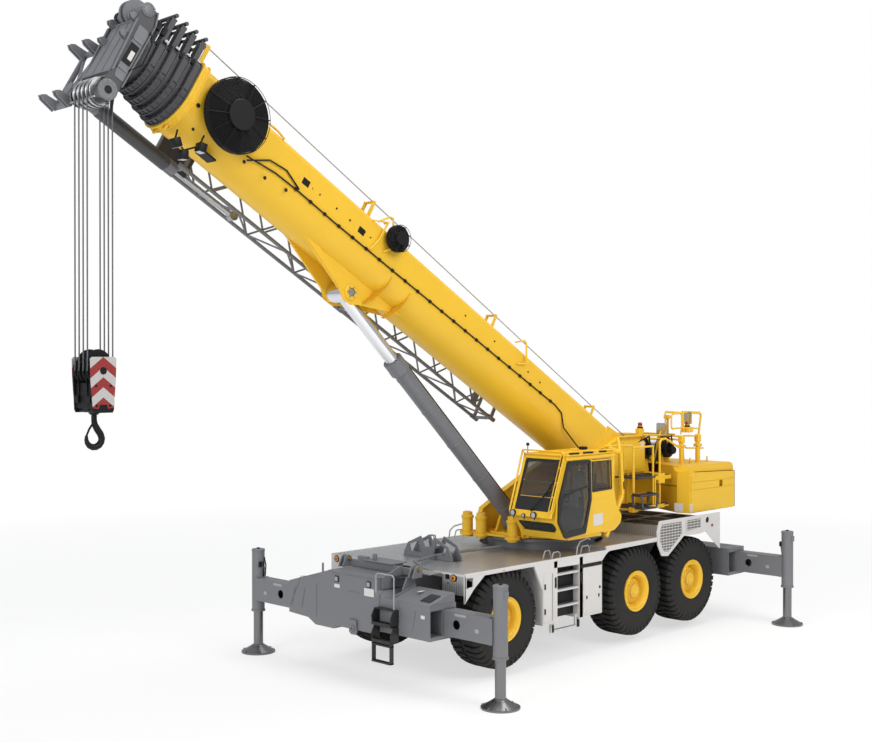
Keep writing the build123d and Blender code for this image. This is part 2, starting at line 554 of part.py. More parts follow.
def boom_base():
    base = section_tube(0, (BASE_REAR_S + 500, BASE_FRONT_S))
    base += section_tube(0, (BASE_FRONT_S - 60, BASE_FRONT_S + 60), COLLAR_PROUD)
    # Foot: two plates that run back to the foot pin
    foot = [(-150, -260), (-150, 70), (0, 160), (900, BASE_TOP_N), (900, -800), (300, -760)]
    base += both(across(foot, (BASE_HALF_W - SKIN, BASE_HALF_W + 16)))
    base -= bar((0, -600, 0), (0, 600, 0), FOOT_PIN_R + 0.08)
    # Bracket under the belly for the lift cylinder's rod eye
    s, n = LIFT_PIN
    plate = [(s - 1200, BASE_BOTTOM_N + 60), (s - 210, n - 90), (s, n - 175), (s + 190, n - 90), (s + 1350, BASE_BOTTOM_N + 60)]
    plate += [(s + 300, -720), (s - 300, -720)]
    bracket = both(across(plate, (LIFT_EYE_HALF_W + 12, LIFT_EYE_HALF_W + 52)))
    base += bracket - extrude(section_face(0, -SECTION_WALL), BASE_FRONT_S)
    # Pads that carry the two reels and the folding jib
    for (rs, rn), r in ((REEL, 150), (CABLE_REEL, 90)):
        base += bar((rs, BASE_HALF_W - 6, rn), (rs, REEL_IN_Y - 0.3, rn), r)
    for js in (3600.0, 11600.0):
        base += block((js - 60, js + 60), (-BASE_HALF_W - 60, -BASE_HALF_W + 6), (-500, -380))
    return moved_boom(base)


def boom_section(level):
    front = BASE_FRONT_S + COLLAR_PITCH * level
    rear = SECTION_REAR_S + 60 * level
    shape = section_tube(level, (rear, front)) + section_tube(level, (front - COLLAR_L, front), COLLAR_PROUD)
    # Wear pads at the rear run in the section outside
    return shape + section_tube(level, (rear, rear + 200), PAD_PROUD)


def head_section():
    """Innermost section with the sheave head on its end."""
    level = 5
    rear = SECTION_REAR_S + 60 * level
    shape = section_tube(level, (rear, HEAD_S - 200)) + section_tube(level, (rear, rear + 200), PAD_PROUD)
    shape += Pos(HEAD_S - 200, 0, 0) * extrude(section_face(level, COLLAR_PROUD), 40)
    cheek = [(HEAD_S - 200, -1050), (HEAD_S - 200, 60), (TOP_SHEAVE[0] - 150, TOP_SHEAVE[1] + 60), (TOP_SHEAVE[0] + 60, TOP_SHEAVE[1] + 90)]
    cheek += [(HEAD_S + 100, 0), (HEAD_S + 60, -900), (NOSE_SHEAVE[0] + 130, NOSE_SHEAVE[1] - 60), (NOSE_SHEAVE[0], NOSE_SHEAVE[1] - 130), (NOSE_SHEAVE[0] - 130, NOSE_SHEAVE[1] - 60)]
    shape += both(across(cheek, (330, 370)))
    shape += block((HEAD_S + 20, HEAD_S + 50), (-335, 335), (-880, -40))
    shape += bar((NOSE_SHEAVE[0], -392, NOSE_SHEAVE[1]), (NOSE_SHEAVE[0], 392, NOSE_SHEAVE[1]), SHEAVE_PIN_R)
    shape += bar((TOP_SHEAVE[0], -372, TOP_SHEAVE[1]), (TOP_SHEAVE[0], 372, TOP_SHEAVE[1]), SHEAVE_PIN_R)
    return moved_boom(shape)


def sheave_stack(place, count, r, end):
    """A row of grooved sheaves on one bored hub."""
    pitch = SHEAVE_PITCH
    h = SHEAVE_W / 2
    first = -(count - 1) / 2 * pitch
    bore = SHEAVE_PIN_R + 0.08
    hub = SHEAVE_PIN_R + 22
    profile = [(bore, -end), (hub, -end)]
    for i in range(count):
        y = first + i * pitch
        profile += [(hub, y - h), (r, y - h), (r - 28, y), (r, y + h), (hub, y + h)]
    profile += [(hub, end), (bore, end)]
    return moved_boom(turned(profile, (place[0], 0, place[1])))


def swingaway_jib():
    """Lattice fly jib stowed along the right side of the boom."""
    y0, y1 = -1060.0, -610.0
    s0, s1 = 3000.0, 11200.0
    low, high = -900.0, -260.0
    corners = [(y0, low), (y1, low), (y0, high), (y1, high)]
    jib = None
    for y, n in corners:
        one = bar((s0, y, n), (s1, y, n), 32)
        jib = one if jib is None else jib + one
    for s in (s0, (s0 + s1) / 2, s1):
        jib += block((s - 30, s + 30), (y0 - 20, y1 + 20), (low - 20, low + 20)) + block((s - 30, s + 30), (y0 - 20, y1 + 20), (high - 20, high + 20))
        jib += block((s - 30, s + 30), (y0 - 20, y0 + 20), (low, high)) + block((s - 30, s + 30), (y1 - 20, y1 + 20), (low, high))
    jib += bar((s1, -835, low), (13300, -835, low - 60), 95)
    for js in (3600.0, 11600.0):
        jib += block((js - 60, js + 60), (-870, -BASE_HALF_W - 60.3), (-500, -380))
    jib += block((11000, 11660), (-875, -795), (-960, -380))
    jib += block((3540, 3660), (y1 - 30, y1 + 30), (low, high))
    # Foot frame with the four ears that will hold it on the head
    for y in (-570.0, -980.0):
        jib += block((13230, 13290), (y - 35, y + 35), (-1300, -260))
        for n in (-1265.0, -330.0):
            ear = [(13260, n - 75), (13500, n - 45), (13555, n), (13500, n + 45), (13260, n + 75)]
            jib += across(ear, (y - 55, y - 25)) + across(ear, (y + 25, y + 55))
    for n in (-1300.0, -980.0, -330.0):
        jib += block((13230, 13290), (-1000, -550), (n, n + 70))
    return moved_boom(jib)


def reel(place, r, width, inner_y):
    profile = [(0, inner_y), (r * 0.45, inner_y), (r * 0.45, inner_y + 20), (r, inner_y + 20), (r, inner_y + width)]
    profile += [(r * 0.93, inner_y + width), (r * 0.45, inner_y + width - 60), (0, inner_y + width - 60)]
    return moved_boom(turned(profile, (place[0], 0, place[1])))


def lift_barrel():
    tube_part = bar((150, 0, 0), (BARREL_L, 0, 0), BARREL_R) - bar((250, 0, 0), (BARREL_L + 1, 0, 0), BARREL_BORE_R)
    tube_part += tube((BARREL_L - 220, 0, 0), (BARREL_L, 0, 0), BARREL_R + 28, ROD_R + 1)
    eye = bar((0, -LIFT_EYE_HALF_W, 0), (0, LIFT_EYE_HALF_W, 0), LIFT_EYE_R)
    tube_part += eye + block((60, 200), (-110, 110), (-120, 120))
    return moved_cylinder(tube_part - bar((0, -200, 0), (0, 200, 0), LIFT_PIN_R + 0.08))


def lift_rod():
    """Rod with its guide piston inside the barrel and its eye at the boom."""
    rear = LIFT_L - ROD_L
    rod = bar((rear, 0, 0), (LIFT_L - 100, 0, 0), ROD_R) + bar((rear - 62, 0, 0), (rear + 1, 0, 0), BARREL_BORE_R - 1)
    eye = bar((LIFT_L, -LIFT_EYE_HALF_W, 0), (LIFT_L, LIFT_EYE_HALF_W, 0), LIFT_EYE_R)
    # The rod's own pin, carried in its eye
    pin_end = LIFT_EYE_HALF_W + 11
    return moved_cylinder(rod + eye + bar((LIFT_L, -pin_end, 0), (LIFT_L, pin_end, 0), LIFT_PIN_R))


NOSE_X, NOSE_Z = boom_point(*NOSE_SHEAVE)


def hoist_falls():
    """Rope falls between the head sheaves and the hook block."""
    falls = None
    for x in (NOSE_X - SHEAVE_R + GROOVE_SEAT, NOSE_X + SHEAVE_R - GROOVE_SEAT):
        for i in range(FALL_COUNT):
            y = (i - (FALL_COUNT - 1) / 2) * SHEAVE_PITCH
            one = bar((x, y, BLOCK_Z + 190), (x, y, NOSE_Z), FALL_R)
            falls = one if falls is None else falls + one
    return falls


def hook_block():
    """Cheek plates round the block's sheaves, and the trunnion."""
    w, h = BLOCK_HALF_W, BLOCK_HALF_H
    x, z = NOSE_X, BLOCK_Z
    plate = [(x - w, z - h + 60), (x - w + 60, z - h), (x + w - 60, z - h), (x + w, z - h + 60), (x + w, z + h - 70), (x + w - 110, z + h), (x - w + 110, z + h), (x - w, z + h - 70)]
    shape = both(across(plate, (225, 255)))
    for i in range(FALL_COUNT):
        y = (i - (FALL_COUNT - 1) / 2) * SHEAVE_PITCH
        half = SHEAVE_W / 2
        profile = [(0, y - half), (SHEAVE_R, y - half), (SHEAVE_R - 28, y), (SHEAVE_R, y + half), (0, y + half)]
        shape += turned(profile, (x, 0, z + 190))
    shape += bar((x, -230, z + 190), (x, 230, z + 190), 60)
    shape += block((x - 130, x + 130), (-230, 230), (z - h + 40, z - h + 190))
    shape += block((x - 180, x + 180), (-230, -205), (z - h + 40, z + 100)) + block((x - 180, x + 180), (205, 230), (z - h + 40, z + 100))
    return shape


def hook():
    """Forged hook on its swivel shank."""
    x, z = NOSE_X, HOOK_SWIVEL_Z
    shape = bar((x, 0, z - 250), (x, 0, BLOCK_Z - BLOCK_HALF_H + 39.7), 42)
    # Bowl of the hook: a ring with a gap towards the front
    ring_z = z - 330
    ring = Plane(origin=(x, -38, ring_z), x_dir=(1, 0, 0), z_dir=(0, -1, 0)) * extrude(Circle(165) - Circle(90), -76)
    ring -= block((x + 20, x + 200), (-50, 50), (ring_z + 10, ring_z + 200))
    shape += ring + block((x - 60, x + 15), (-38, 38), (ring_z + 90, ring_z + 180))
    return shape


def boom_foot_pin():
    return bar((FOOT_X, -PLATE_OUT_Y - 25, FOOT_Z), (FOOT_X, PLATE_OUT_Y + 25, FOOT_Z), FOOT_PIN_R)


def lift_cylinder_pin():
    end = LIFT_EYE_HALF_W + 90
    return bar((CYL_FOOT_X, -end, CYL_FOOT_Z), (CYL_FOOT_X, end, CYL_FOOT_Z), LIFT_PIN_R)


out["chassis_frame"] = chassis_frame()
out["outrigger_boxes"] = outrigger_boxes()
out["deck_and_fenders"] = deck_and_fenders()
out["step_lockers_left"] = step_lockers(1)
out["step_lockers_right"] = step_lockers(-1)
out["engine_block"] = engine_block()
out["axles"] = axles()
for side_name, side in SIDES.items():
    for number, axle_x in AXLE_X.items():
        out[f"knuckle_{number}_{side_name}"] = knuckle(axle_x, side)
        out[f"tyre_{number}_{side_name}"] = tyre(axle_x, side)
        out[f"rim_{number}_{side_name}"] = rim(axle_x, side)
    for end_name, end_x in (("front", FRONT_LEFT_JACK_X), ("rear", REAR_LEFT_JACK_X)):
        out[f"outrigger_beam_{end_name}_{side_name}"] = beam(end_x, side)
        out[f"outrigger_jack_{end_name}_{side_name}"] = jack(end_x, side)
out["turntable_frame"] = turntable_frame()
out["main_winch_drum"] = winch("main")
out["aux_winch_drum"] = winch("aux")
out["counterweight"] = counterweight()
out["cab_shell"] = cab_shell()
out["cab_windows"] = cab_windows()
out["cab_interior"] = cab_interior()
out["cab_door"] = cab_door()
out["cab_door_glass"] = cab_door_glass()
out["boom_foot_pin"] = boom_foot_pin()
out["boom_base"] = boom_base()
for level in (1, 2, 3, 4):
    out[f"boom_section_{level + 1}"] = moved_boom(boom_section(level))
out["boom_head_section"] = head_section()
out["nose_sheaves"] = sheave_stack(NOSE_SHEAVE, FALL_COUNT, SHEAVE_R, 320)
out["top_sheaves"] = sheave_stack(TOP_SHEAVE, 2, SHEAVE_R, 320)
out["swingaway_jib"] = swingaway_jib()
out["hose_reel"] = reel(REEL, REEL_R, REEL_W, REEL_IN_Y)
out["cable_reel"] = reel(CABLE_REEL, CABLE_REEL_R, 190, REEL_IN_Y)
out["lift_cylinder_pin"] = lift_cylinder_pin()
out["lift_barrel"] = lift_barrel()
out["lift_rod"] = lift_rod()
out["hoist_falls"] = hoist_falls()
out["hook_block"] = hook_block()
out["hook"] = hook()

# Origin: midway between the foremost and rearmost points
front_end = max(shape.bounding_box().max.X for shape in out.values())
rear_end = min(shape.bounding_box().min.X for shape in out.values())
SHIFT_X = -(front_end + rear_end) / 2

os.makedirs("parts", exist_ok=True)
for name, shape in out.items():
    solids = (Pos(SHIFT_X, 0, 0) * shape).solids()
    export_step(solids[0] if len(solids) == 1 else Compound(children=solids), f"parts/{name}.step")
print("parts", len(out), "shift x", round(SHIFT_X, 3), "lift angle", round(LIFT_ANGLE, 3), "length", round(LIFT_L, 1))
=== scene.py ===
# %% [markdown]
# Mobile crane on its outriggers, dressed for the studio. The imported CAD model is loaded as a
# fixed frame: every shape added below, but the rope along the boom, sits on one of its bodies and
# moves with it. The CAD box is kept.

# %% Load the frame
import json
import math

import bmesh
import bpy
from mathutils import Matrix, Vector


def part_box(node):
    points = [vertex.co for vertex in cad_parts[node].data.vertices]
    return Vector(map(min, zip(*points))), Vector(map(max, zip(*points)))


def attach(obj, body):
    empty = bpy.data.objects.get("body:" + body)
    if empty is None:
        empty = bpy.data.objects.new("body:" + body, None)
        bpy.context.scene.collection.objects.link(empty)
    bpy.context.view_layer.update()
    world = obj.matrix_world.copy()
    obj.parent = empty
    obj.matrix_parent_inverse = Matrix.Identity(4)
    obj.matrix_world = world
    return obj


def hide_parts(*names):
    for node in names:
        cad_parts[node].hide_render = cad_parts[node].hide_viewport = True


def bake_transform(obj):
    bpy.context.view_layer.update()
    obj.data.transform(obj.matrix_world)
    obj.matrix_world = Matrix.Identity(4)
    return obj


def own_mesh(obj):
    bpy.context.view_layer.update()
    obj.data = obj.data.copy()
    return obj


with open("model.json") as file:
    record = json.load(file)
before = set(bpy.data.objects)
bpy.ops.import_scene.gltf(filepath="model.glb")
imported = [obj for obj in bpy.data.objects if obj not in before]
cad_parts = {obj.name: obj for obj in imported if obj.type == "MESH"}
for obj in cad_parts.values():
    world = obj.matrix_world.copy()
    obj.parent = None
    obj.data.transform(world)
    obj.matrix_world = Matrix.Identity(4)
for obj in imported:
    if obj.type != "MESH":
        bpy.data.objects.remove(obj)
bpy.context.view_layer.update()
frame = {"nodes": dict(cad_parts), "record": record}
nodes = frame["nodes"]

# %% [markdown]
# The crane was measured from its slewing centre, with X forward. The row's origin lies
# elsewhere along X, so one matrix carries measured points there. Two more matrices carry
# points written along the boom (s along it, n square to it) and along the lift cylinder,
# whose upper pin is at PS, PN on the boom.

# %% Places to model in
FRONT_AXLE_X, PIVOT_X, PIVOT_Z, BOOM_ANGLE = 2.92, -2.25, 3.585, 30
PS, PN = 7.939, -1.154
wheel_low, wheel_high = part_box("tyre_1_left")
SHIFT = (wheel_low.x + wheel_high.x) / 2 - FRONT_AXLE_X
CARRIER = Matrix.Translation((SHIFT, 0, 0))
BOOM = Matrix.Translation((SHIFT + PIVOT_X, 0, PIVOT_Z)) @ Matrix.Rotation(
    -math.radians(BOOM_ANGLE), 4, "Y",
)
pin_low, pin_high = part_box("lift_cylinder_pin")
FOOT = (pin_low + pin_high) / 2
LIFT_EYE = BOOM @ Vector((PS, 0, PN))
LIFT_ANGLE = math.atan2(LIFT_EYE.z - FOOT.z, LIFT_EYE.x - FOOT.x)
LIFT_LENGTH = math.hypot(LIFT_EYE.z - FOOT.z, LIFT_EYE.x - FOOT.x)
CYLINDER = Matrix.Translation(FOOT) @ Matrix.Rotation(-LIFT_ANGLE, 4, "Y")
print(
    "shift", round(SHIFT, 4), "lift cylinder", round(math.degrees(LIFT_ANGLE), 2),
    round(LIFT_LENGTH, 3),
)

# %% [markdown]
# The camera stands at the front left, level with the cab roof, as the photographer did. Its place
# and lens were solved from the wheels, floats and boom edges of the photograph. With it solved,
# render and photograph can be laid over each other.

# %% Camera
camera_data = bpy.data.cameras.new("camera")
camera_data.lens = 51.96
camera_data.sensor_width = 36
camera_data.clip_end = 2000
camera = bpy.data.objects.new("camera", camera_data)
camera.location = (19.0792 + SHIFT, 15.9347, 5.372)
camera.rotation_euler = (math.radians(90 - 0.3407), 0, math.radians(224.6358 - 90))
bpy.context.scene.collection.objects.link(camera)
bpy.context.scene.camera = camera
bpy.context.scene.view_settings.view_transform = "Standard"
print("camera", [round(v, 3) for v in camera.location], "lens", camera_data.lens)

# %% [markdown]
# A studio sweep: a pale floor that turns to plain white far away, so that no horizon shows.
# The white is a colour that only the camera sees, straight or through glass; the light on
# the crane comes from a soft dome and three large lamps.

# %% Floor, world and lamps
def node_tree(owner):
    """Turns nodes on and starts with none."""
    owner.use_nodes = True
    owner.node_tree.nodes.clear()
    return owner.node_tree


def add(tree, kind, **values):
    """Adds a node; a value named after a socket sets it, any other sets an attribute."""
    node = tree.nodes.new(kind)
    for key, value in values.items():
        socket = node.inputs.get(key.replace("_", " "))
        if socket is None:
            setattr(node, key, value)
        else:
            socket.default_value = value
    return node


def link(tree, out, into):
    tree.links.new(out, into)


world = bpy.data.worlds.new("studio")
bpy.context.scene.world = world
tree = node_tree(world)
path = add(tree, "ShaderNodeLightPath")
seen = add(tree, "ShaderNodeMath", operation="MAXIMUM")
dome = add(tree, "ShaderNodeBackground", Color=(0.93, 0.96, 1.0, 1), Strength=0.5)
white = add(tree, "ShaderNodeBackground", Color=(1, 1, 1, 1), Strength=1.0)
mix = add(tree, "ShaderNodeMixShader")
out = add(tree, "ShaderNodeOutputWorld")
link(tree, path.outputs["Is Camera Ray"], seen.inputs[0])
link(tree, path.outputs["Is Transmission Ray"], seen.inputs[1])
link(tree, seen.outputs[0], mix.inputs[0])
link(tree, dome.outputs[0], mix.inputs[1])
link(tree, white.outputs[0], mix.inputs[2])
link(tree, mix.outputs[0], out.inputs[0])

floor_mesh = bmesh.new()
bmesh.ops.create_circle(floor_mesh, cap_ends=True, segments=96, radius=600)
floor_data = bpy.data.meshes.new("floor")
floor_mesh.to_mesh(floor_data)
floor = bpy.data.objects.new("floor", floor_data)
bpy.context.scene.collection.objects.link(floor)
floor_material = bpy.data.materials.new("studio_floor")
tree = node_tree(floor_material)
place = add(tree, "ShaderNodeTexCoord")
far = add(tree, "ShaderNodeVectorMath", operation="LENGTH")
fade = add(tree, "ShaderNodeMapRange", From_Min=9.0, From_Max=26.0, To_Min=0.62, To_Max=1.0)
path = add(tree, "ShaderNodeLightPath")
share = add(tree, "ShaderNodeMath", operation="MULTIPLY")
matt = add(tree, "ShaderNodeBsdfDiffuse", Color=(0.88, 0.88, 0.875, 1))
glow = add(tree, "ShaderNodeEmission", Color=(1, 1, 1, 1), Strength=1.0)
mix = add(tree, "ShaderNodeMixShader")
out = add(tree, "ShaderNodeOutputMaterial")
link(tree, place.outputs["Object"], far.inputs[0])
link(tree, far.outputs["Value"], fade.inputs["Value"])
link(tree, fade.outputs["Result"], share.inputs[0])
link(tree, path.outputs["Is Camera Ray"], share.inputs[1])
link(tree, share.outputs[0], mix.inputs[0])
link(tree, matt.outputs[0], mix.inputs[1])
link(tree, glow.outputs[0], mix.inputs[2])
link(tree, mix.outputs[0], out.inputs[0])
floor_data.materials.append(floor_material)


def soft_lamp(name, place, aim, size, watts, colour=(1, 1, 1)):
    """A round area lamp, aimed at a point."""
    data = bpy.data.lights.new(name, "AREA")
    data.shape = "DISK"
    data.size = size
    data.energy = watts
    data.color = colour
    lamp = bpy.data.objects.new(name, data)
    lamp.location = place
    lamp.rotation_euler = (Vector(aim) - Vector(place)).to_track_quat("-Z", "Y").to_euler()
    bpy.context.scene.collection.objects.link(lamp)


soft_lamp("key", (0, 24, 20), (0, 0, 3), 16, 3700, (1.0, 0.985, 0.96))
soft_lamp("front", (44, 6, 20), (0, 0, 3), 26, 9500)
soft_lamp("top", (-4, 2, 30), (0, 0, 0), 20, 3600)
print("lamps", len(bpy.data.lights))

# %% [markdown]
# Paint on a machine is never one flat colour: its tone drifts over a panel, the spray leaves
# a fine orange peel, and dust settles low down. One node group makes these three masks from
# Object coordinates, and every finish uses it with its own strengths.

# %% Shared surface group
def shade_group(name, inputs, outputs):
    """An empty node group with its sockets, and its two end nodes."""
    group = bpy.data.node_groups.new(name, "ShaderNodeTree")
    for label, value in inputs:
        socket = group.interface.new_socket(name=label, in_out="INPUT", socket_type="NodeSocketFloat")
        socket.default_value = value
    for label, kind in outputs:
        group.interface.new_socket(name=label, in_out="OUTPUT", socket_type=kind)
    return group, add(group, "NodeGroupInput"), add(group, "NodeGroupOutput")


surface, given, result = shade_group(
    "surface_life",
    [("Tone Scale", 0.9), ("Peel Scale", 60.0), ("Dust Height", 1.2)],
    [("Tone", "NodeSocketFloat"), ("Peel", "NodeSocketFloat"), ("Dust", "NodeSocketFloat")],
)
place = add(surface, "ShaderNodeTexCoord")
tone = add(surface, "ShaderNodeTexNoise", Detail=4.0, Roughness=0.6)
peel = add(surface, "ShaderNodeTexNoise", Detail=2.0)
grit = add(surface, "ShaderNodeTexNoise", Scale=7.0, Detail=6.0, Roughness=0.7)
split = add(surface, "ShaderNodeSeparateXYZ")
low = add(surface, "ShaderNodeMapRange", From_Min=0.0, To_Min=1.0, To_Max=0.0)
dust = add(surface, "ShaderNodeMath", operation="MULTIPLY")
for texture in (tone, peel, grit):
    link(surface, place.outputs["Object"], texture.inputs["Vector"])
link(surface, given.outputs["Tone Scale"], tone.inputs["Scale"])
link(surface, given.outputs["Peel Scale"], peel.inputs["Scale"])
link(surface, place.outputs["Object"], split.inputs[0])
link(surface, split.outputs["Z"], low.inputs["Value"])
link(surface, given.outputs["Dust Height"], low.inputs["From Max"])
link(surface, low.outputs["Result"], dust.inputs[0])
link(surface, grit.outputs["Fac"], dust.inputs[1])
link(surface, tone.outputs["Fac"], result.inputs["Tone"])
link(surface, peel.outputs["Fac"], result.inputs["Peel"])
link(surface, dust.outputs[0], result.inputs["Dust"])
print(surface.name, len(surface.nodes), "shader nodes")


def mix_colour(tree, fac, a, b):
    """Mixes two colours; a or b may be an output socket or a plain colour."""
    node = add(tree, "ShaderNodeMix", data_type="RGBA")
    link(tree, fac, node.inputs["Factor"])
    for value, socket in ((a, node.inputs[6]), (b, node.inputs[7])):
        if isinstance(value, tuple):
            socket.default_value = (*value, 1)
        else:
            link(tree, value, socket)
    return node.outputs[2]


def calc(tree, operation, a, b=None, c=None):
    """A maths node whose operands may be sockets or numbers; returns its output."""
    node = add(tree, "ShaderNodeMath", operation=operation)
    for value, socket in zip((a, b, c), node.inputs):
        if isinstance(value, (int, float)):
            socket.default_value = value
        elif value is not None:
            link(tree, value, socket)
    return node.outputs[0]


def shade(colour, by):
    """A colour made lighter or darker, kept within 0 and 1."""
    return tuple(max(0.0, min(1.0, c * by)) for c in colour)


def finish(name, **shader):
    """A new material: itself, its node tree, the shared surface group and the shader."""
    material = bpy.data.materials.new(name)
    tree = node_tree(material)
    life = add(tree, "ShaderNodeGroup", node_tree=surface)
    bsdf = add(tree, "ShaderNodeBsdfPrincipled", **shader)
    out = add(tree, "ShaderNodeOutputMaterial")
    link(tree, bsdf.outputs[0], out.inputs[0])
    return material, tree, life, bsdf


def roughen(tree, mask, low, high, bsdf):
    """Lets a mask drive the roughness between two values."""
    roughness = add(tree, "ShaderNodeMapRange", To_Min=low, To_Max=high)
    link(tree, mask, roughness.inputs["Value"])
    link(tree, roughness.outputs["Result"], bsdf.inputs["Roughness"])


def emboss(tree, height, strength, distance, bsdf):
    """Lets a height mask tilt the normals."""
    bump = add(tree, "ShaderNodeBump", Strength=strength, Distance=distance)
    link(tree, height, bump.inputs["Height"])
    link(tree, bump.outputs["Normal"], bsdf.inputs["Normal"])


def paint(
    name, colour, rough=0.35, drift=0.1, peel=0.04, dust=0.25,
    dust_colour=(0.33, 0.3, 0.26), **shader,
):
    """A painted or moulded finish: drifting tone, orange peel and dust low down."""
    material, tree, life, bsdf = finish(name, **shader)
    body = mix_colour(tree, life.outputs["Tone"], shade(colour, 1 - drift), shade(colour, 1 + drift))
    amount = calc(tree, "MULTIPLY", life.outputs["Dust"], dust)
    link(tree, mix_colour(tree, amount, body, dust_colour), bsdf.inputs["Base Color"])
    roughen(tree, life.outputs["Tone"], max(0.03, rough - 0.07), min(1.0, rough + 0.1), bsdf)
    emboss(tree, life.outputs["Peel"], peel, 0.002, bsdf)
    return material


# %% [markdown]
# The finishes. Colours are written as they read on the crane: warm machine yellow above,
# mid grey below, off-white deck skirts, near-black rubber and rope drums. One function makes them
# all, so that they differ only in colour, gloss and wear.

# %% Paints and metals
YELLOW = paint("machine_yellow", (0.79, 0.475, 0.028), 0.36, 0.06, 0.05, 0.12, Specular_IOR_Level=0.35)
GREY = paint("carrier_grey", (0.155, 0.157, 0.168), 0.42, 0.08, 0.05, 0.3)
LIGHT_GREY = paint("light_grey", (0.32, 0.32, 0.33), 0.42, 0.08, 0.05, 0.3)
WHITE = paint("skirt_white", (0.62, 0.6, 0.58), 0.42, 0.05, 0.04, 0.25)
DARK = paint("section_grey", (0.05, 0.05, 0.056), 0.4, 0.1, 0.05, 0.1)
BLACK = paint("satin_black", (0.007, 0.007, 0.0075), 0.45, 0.15, 0.04, 0.1, Specular_IOR_Level=0.22)
RUBBER = paint(
    "tyre_rubber", (0.017, 0.0165, 0.016), 0.8, 0.25, 0.2, 0.3, (0.09, 0.08, 0.07),
    Specular_IOR_Level=0.3,
)
STEEL = paint("machined_steel", (0.42, 0.42, 0.43), 0.32, 0.12, 0.05, 0.25, Metallic=0.9)
DARK_STEEL = paint("jack_rod_steel", (0.2, 0.2, 0.21), 0.28, 0.12, 0.03, 0.25, Metallic=0.9)
CHROME = paint("chrome_rod", (0.8, 0.8, 0.82), 0.1, 0.04, 0.01, 0.0, Metallic=1.0)
SEAT = paint("seat_cover", (0.03, 0.03, 0.032), 0.75, 0.2, 0.3, 0.1)
AMBER = paint(
    "amber_lens", (0.75, 0.3, 0.02), 0.22, 0.1, 0.02, 0.0, Coat_Weight=0.5, Coat_Roughness=0.1,
)
RED = paint(
    "red_lens", (0.26, 0.01, 0.008), 0.22, 0.1, 0.02, 0.0, Coat_Weight=0.5, Coat_Roughness=0.1,
)


def dark_glass(name, colour, alpha):
    """A smooth clear-coated pane, seen through as far as its alpha lets it."""
    material, tree, life, bsdf = finish(
        name, Metallic=0.0, Alpha=alpha, Coat_Weight=0.6, Coat_Roughness=0.03,
    )
    tint = mix_colour(tree, life.outputs["Tone"], shade(colour, 0.8), shade(colour, 1.2))
    link(tree, tint, bsdf.inputs["Base Color"])
    roughen(tree, life.outputs["Tone"], 0.03, 0.09, bsdf)
    return material


GLASS = dark_glass("tinted_glass", (0.045, 0.048, 0.046), 0.4)
print("finishes", len(bpy.data.materials))

# %% [markdown]
# Each node of the CAD model takes the finish of its material slot in the row. What the
# cells below replace is hidden, and the rest shows as it is, under these finishes.

# %% Finishes of the CAD nodes
finish_of_slot = {
    "yellow_paint": YELLOW, "grey_paint": GREY, "white_paint": WHITE, "dark_paint": DARK,
    "black_paint": BLACK, "tyre_rubber": RUBBER, "steel_pin": STEEL, "chrome_rod": CHROME,
    "wire_rope": STEEL, "window_glass": GLASS, "seat_cover": SEAT,
}
slot_of_node = {p["node"]: p["material_slot"] for p in frame["record"]["subparts"]}
for name, thing in nodes.items():
    thing.data.materials.clear()
    thing.data.materials.append(DARK_STEEL if "_jack_" in name else finish_of_slot[slot_of_node[name]])
print("nodes with a finish", len(nodes))

# %% [markdown]
# Every added piece starts as a bmesh made from Blender's own operators: a cube that is
# bevelled, a cone between two points, an outline that is extruded, or a profile that is
# spun. These few helpers are the workbench, and the cells after them are the crane.

# %% Helpers for shapes
def block(bm, x, y, z, edge=0.004, steps=1):
    """A bevelled cuboid from three (low, high) ranges."""
    made = bmesh.ops.create_cube(bm, size=1)["verts"]
    bmesh.ops.scale(bm, vec=(x[1] - x[0], y[1] - y[0], z[1] - z[0]), verts=made)
    bmesh.ops.translate(bm, vec=(sum(x) / 2, sum(y) / 2, sum(z) / 2), verts=made)
    return soften(bm, made, edge, steps) if edge else made


def bevel(bm, geom, width, steps=1, kind="EDGES"):
    """Bevels edges, or corners when the kind is VERTICES."""
    return bmesh.ops.bevel(
        bm, geom=geom, offset=width, offset_type="OFFSET", segments=steps, profile=0.5,
        affect=kind, material=-1, clamp_overlap=True,
    )["verts"]


def soften(bm, verts, width, steps=1):
    """Bevels every edge that meets these vertices."""
    return bevel(bm, list({e for v in verts for e in v.link_edges}), width, steps)


def about(middle, half):
    """The (low, high) range round a middle value."""
    return middle - half, middle + half


def rect(across, up):
    """Four corners from two (low, high) ranges."""
    return [(across[0], up[0]), (across[1], up[0]), (across[1], up[1]), (across[0], up[1])]


def in_plane(y, *points):
    """Points given as (x, z), all at one y."""
    return [(x, y, z) for x, z in points]


def verts_in(geom):
    """The vertices among what an operator made."""
    return [v for v in geom if isinstance(v, bmesh.types.BMVert)]


def thicken(bm, faces, step, **how):
    """Extrudes faces by a step and returns the vertices that moved."""
    moved = verts_in(bmesh.ops.extrude_face_region(bm, geom=faces, **how)["geom"])
    bmesh.ops.translate(bm, vec=step, verts=moved)
    return moved


def flat(bm, points, normal, at):
    """One face through (a, b) points, in the plane square to an axis."""
    spot = {
        "x": lambda a, b: (at, a, b),
        "y": lambda a, b: (a, at, b),
        "z": lambda a, b: (a, b, at),
    }[normal]
    return bm.faces.new([bm.verts.new(spot(a, b)) for a, b in points])


def along_axis(normal, span):
    """The step from one end of a span to the other."""
    return Vector([(span[1] - span[0]) * (normal == axis) for axis in "xyz"])


def keep_faces(bm, faces):
    """Deletes every face but these."""
    bmesh.ops.delete(bm, geom=[f for f in bm.faces if f not in faces], context="FACES")


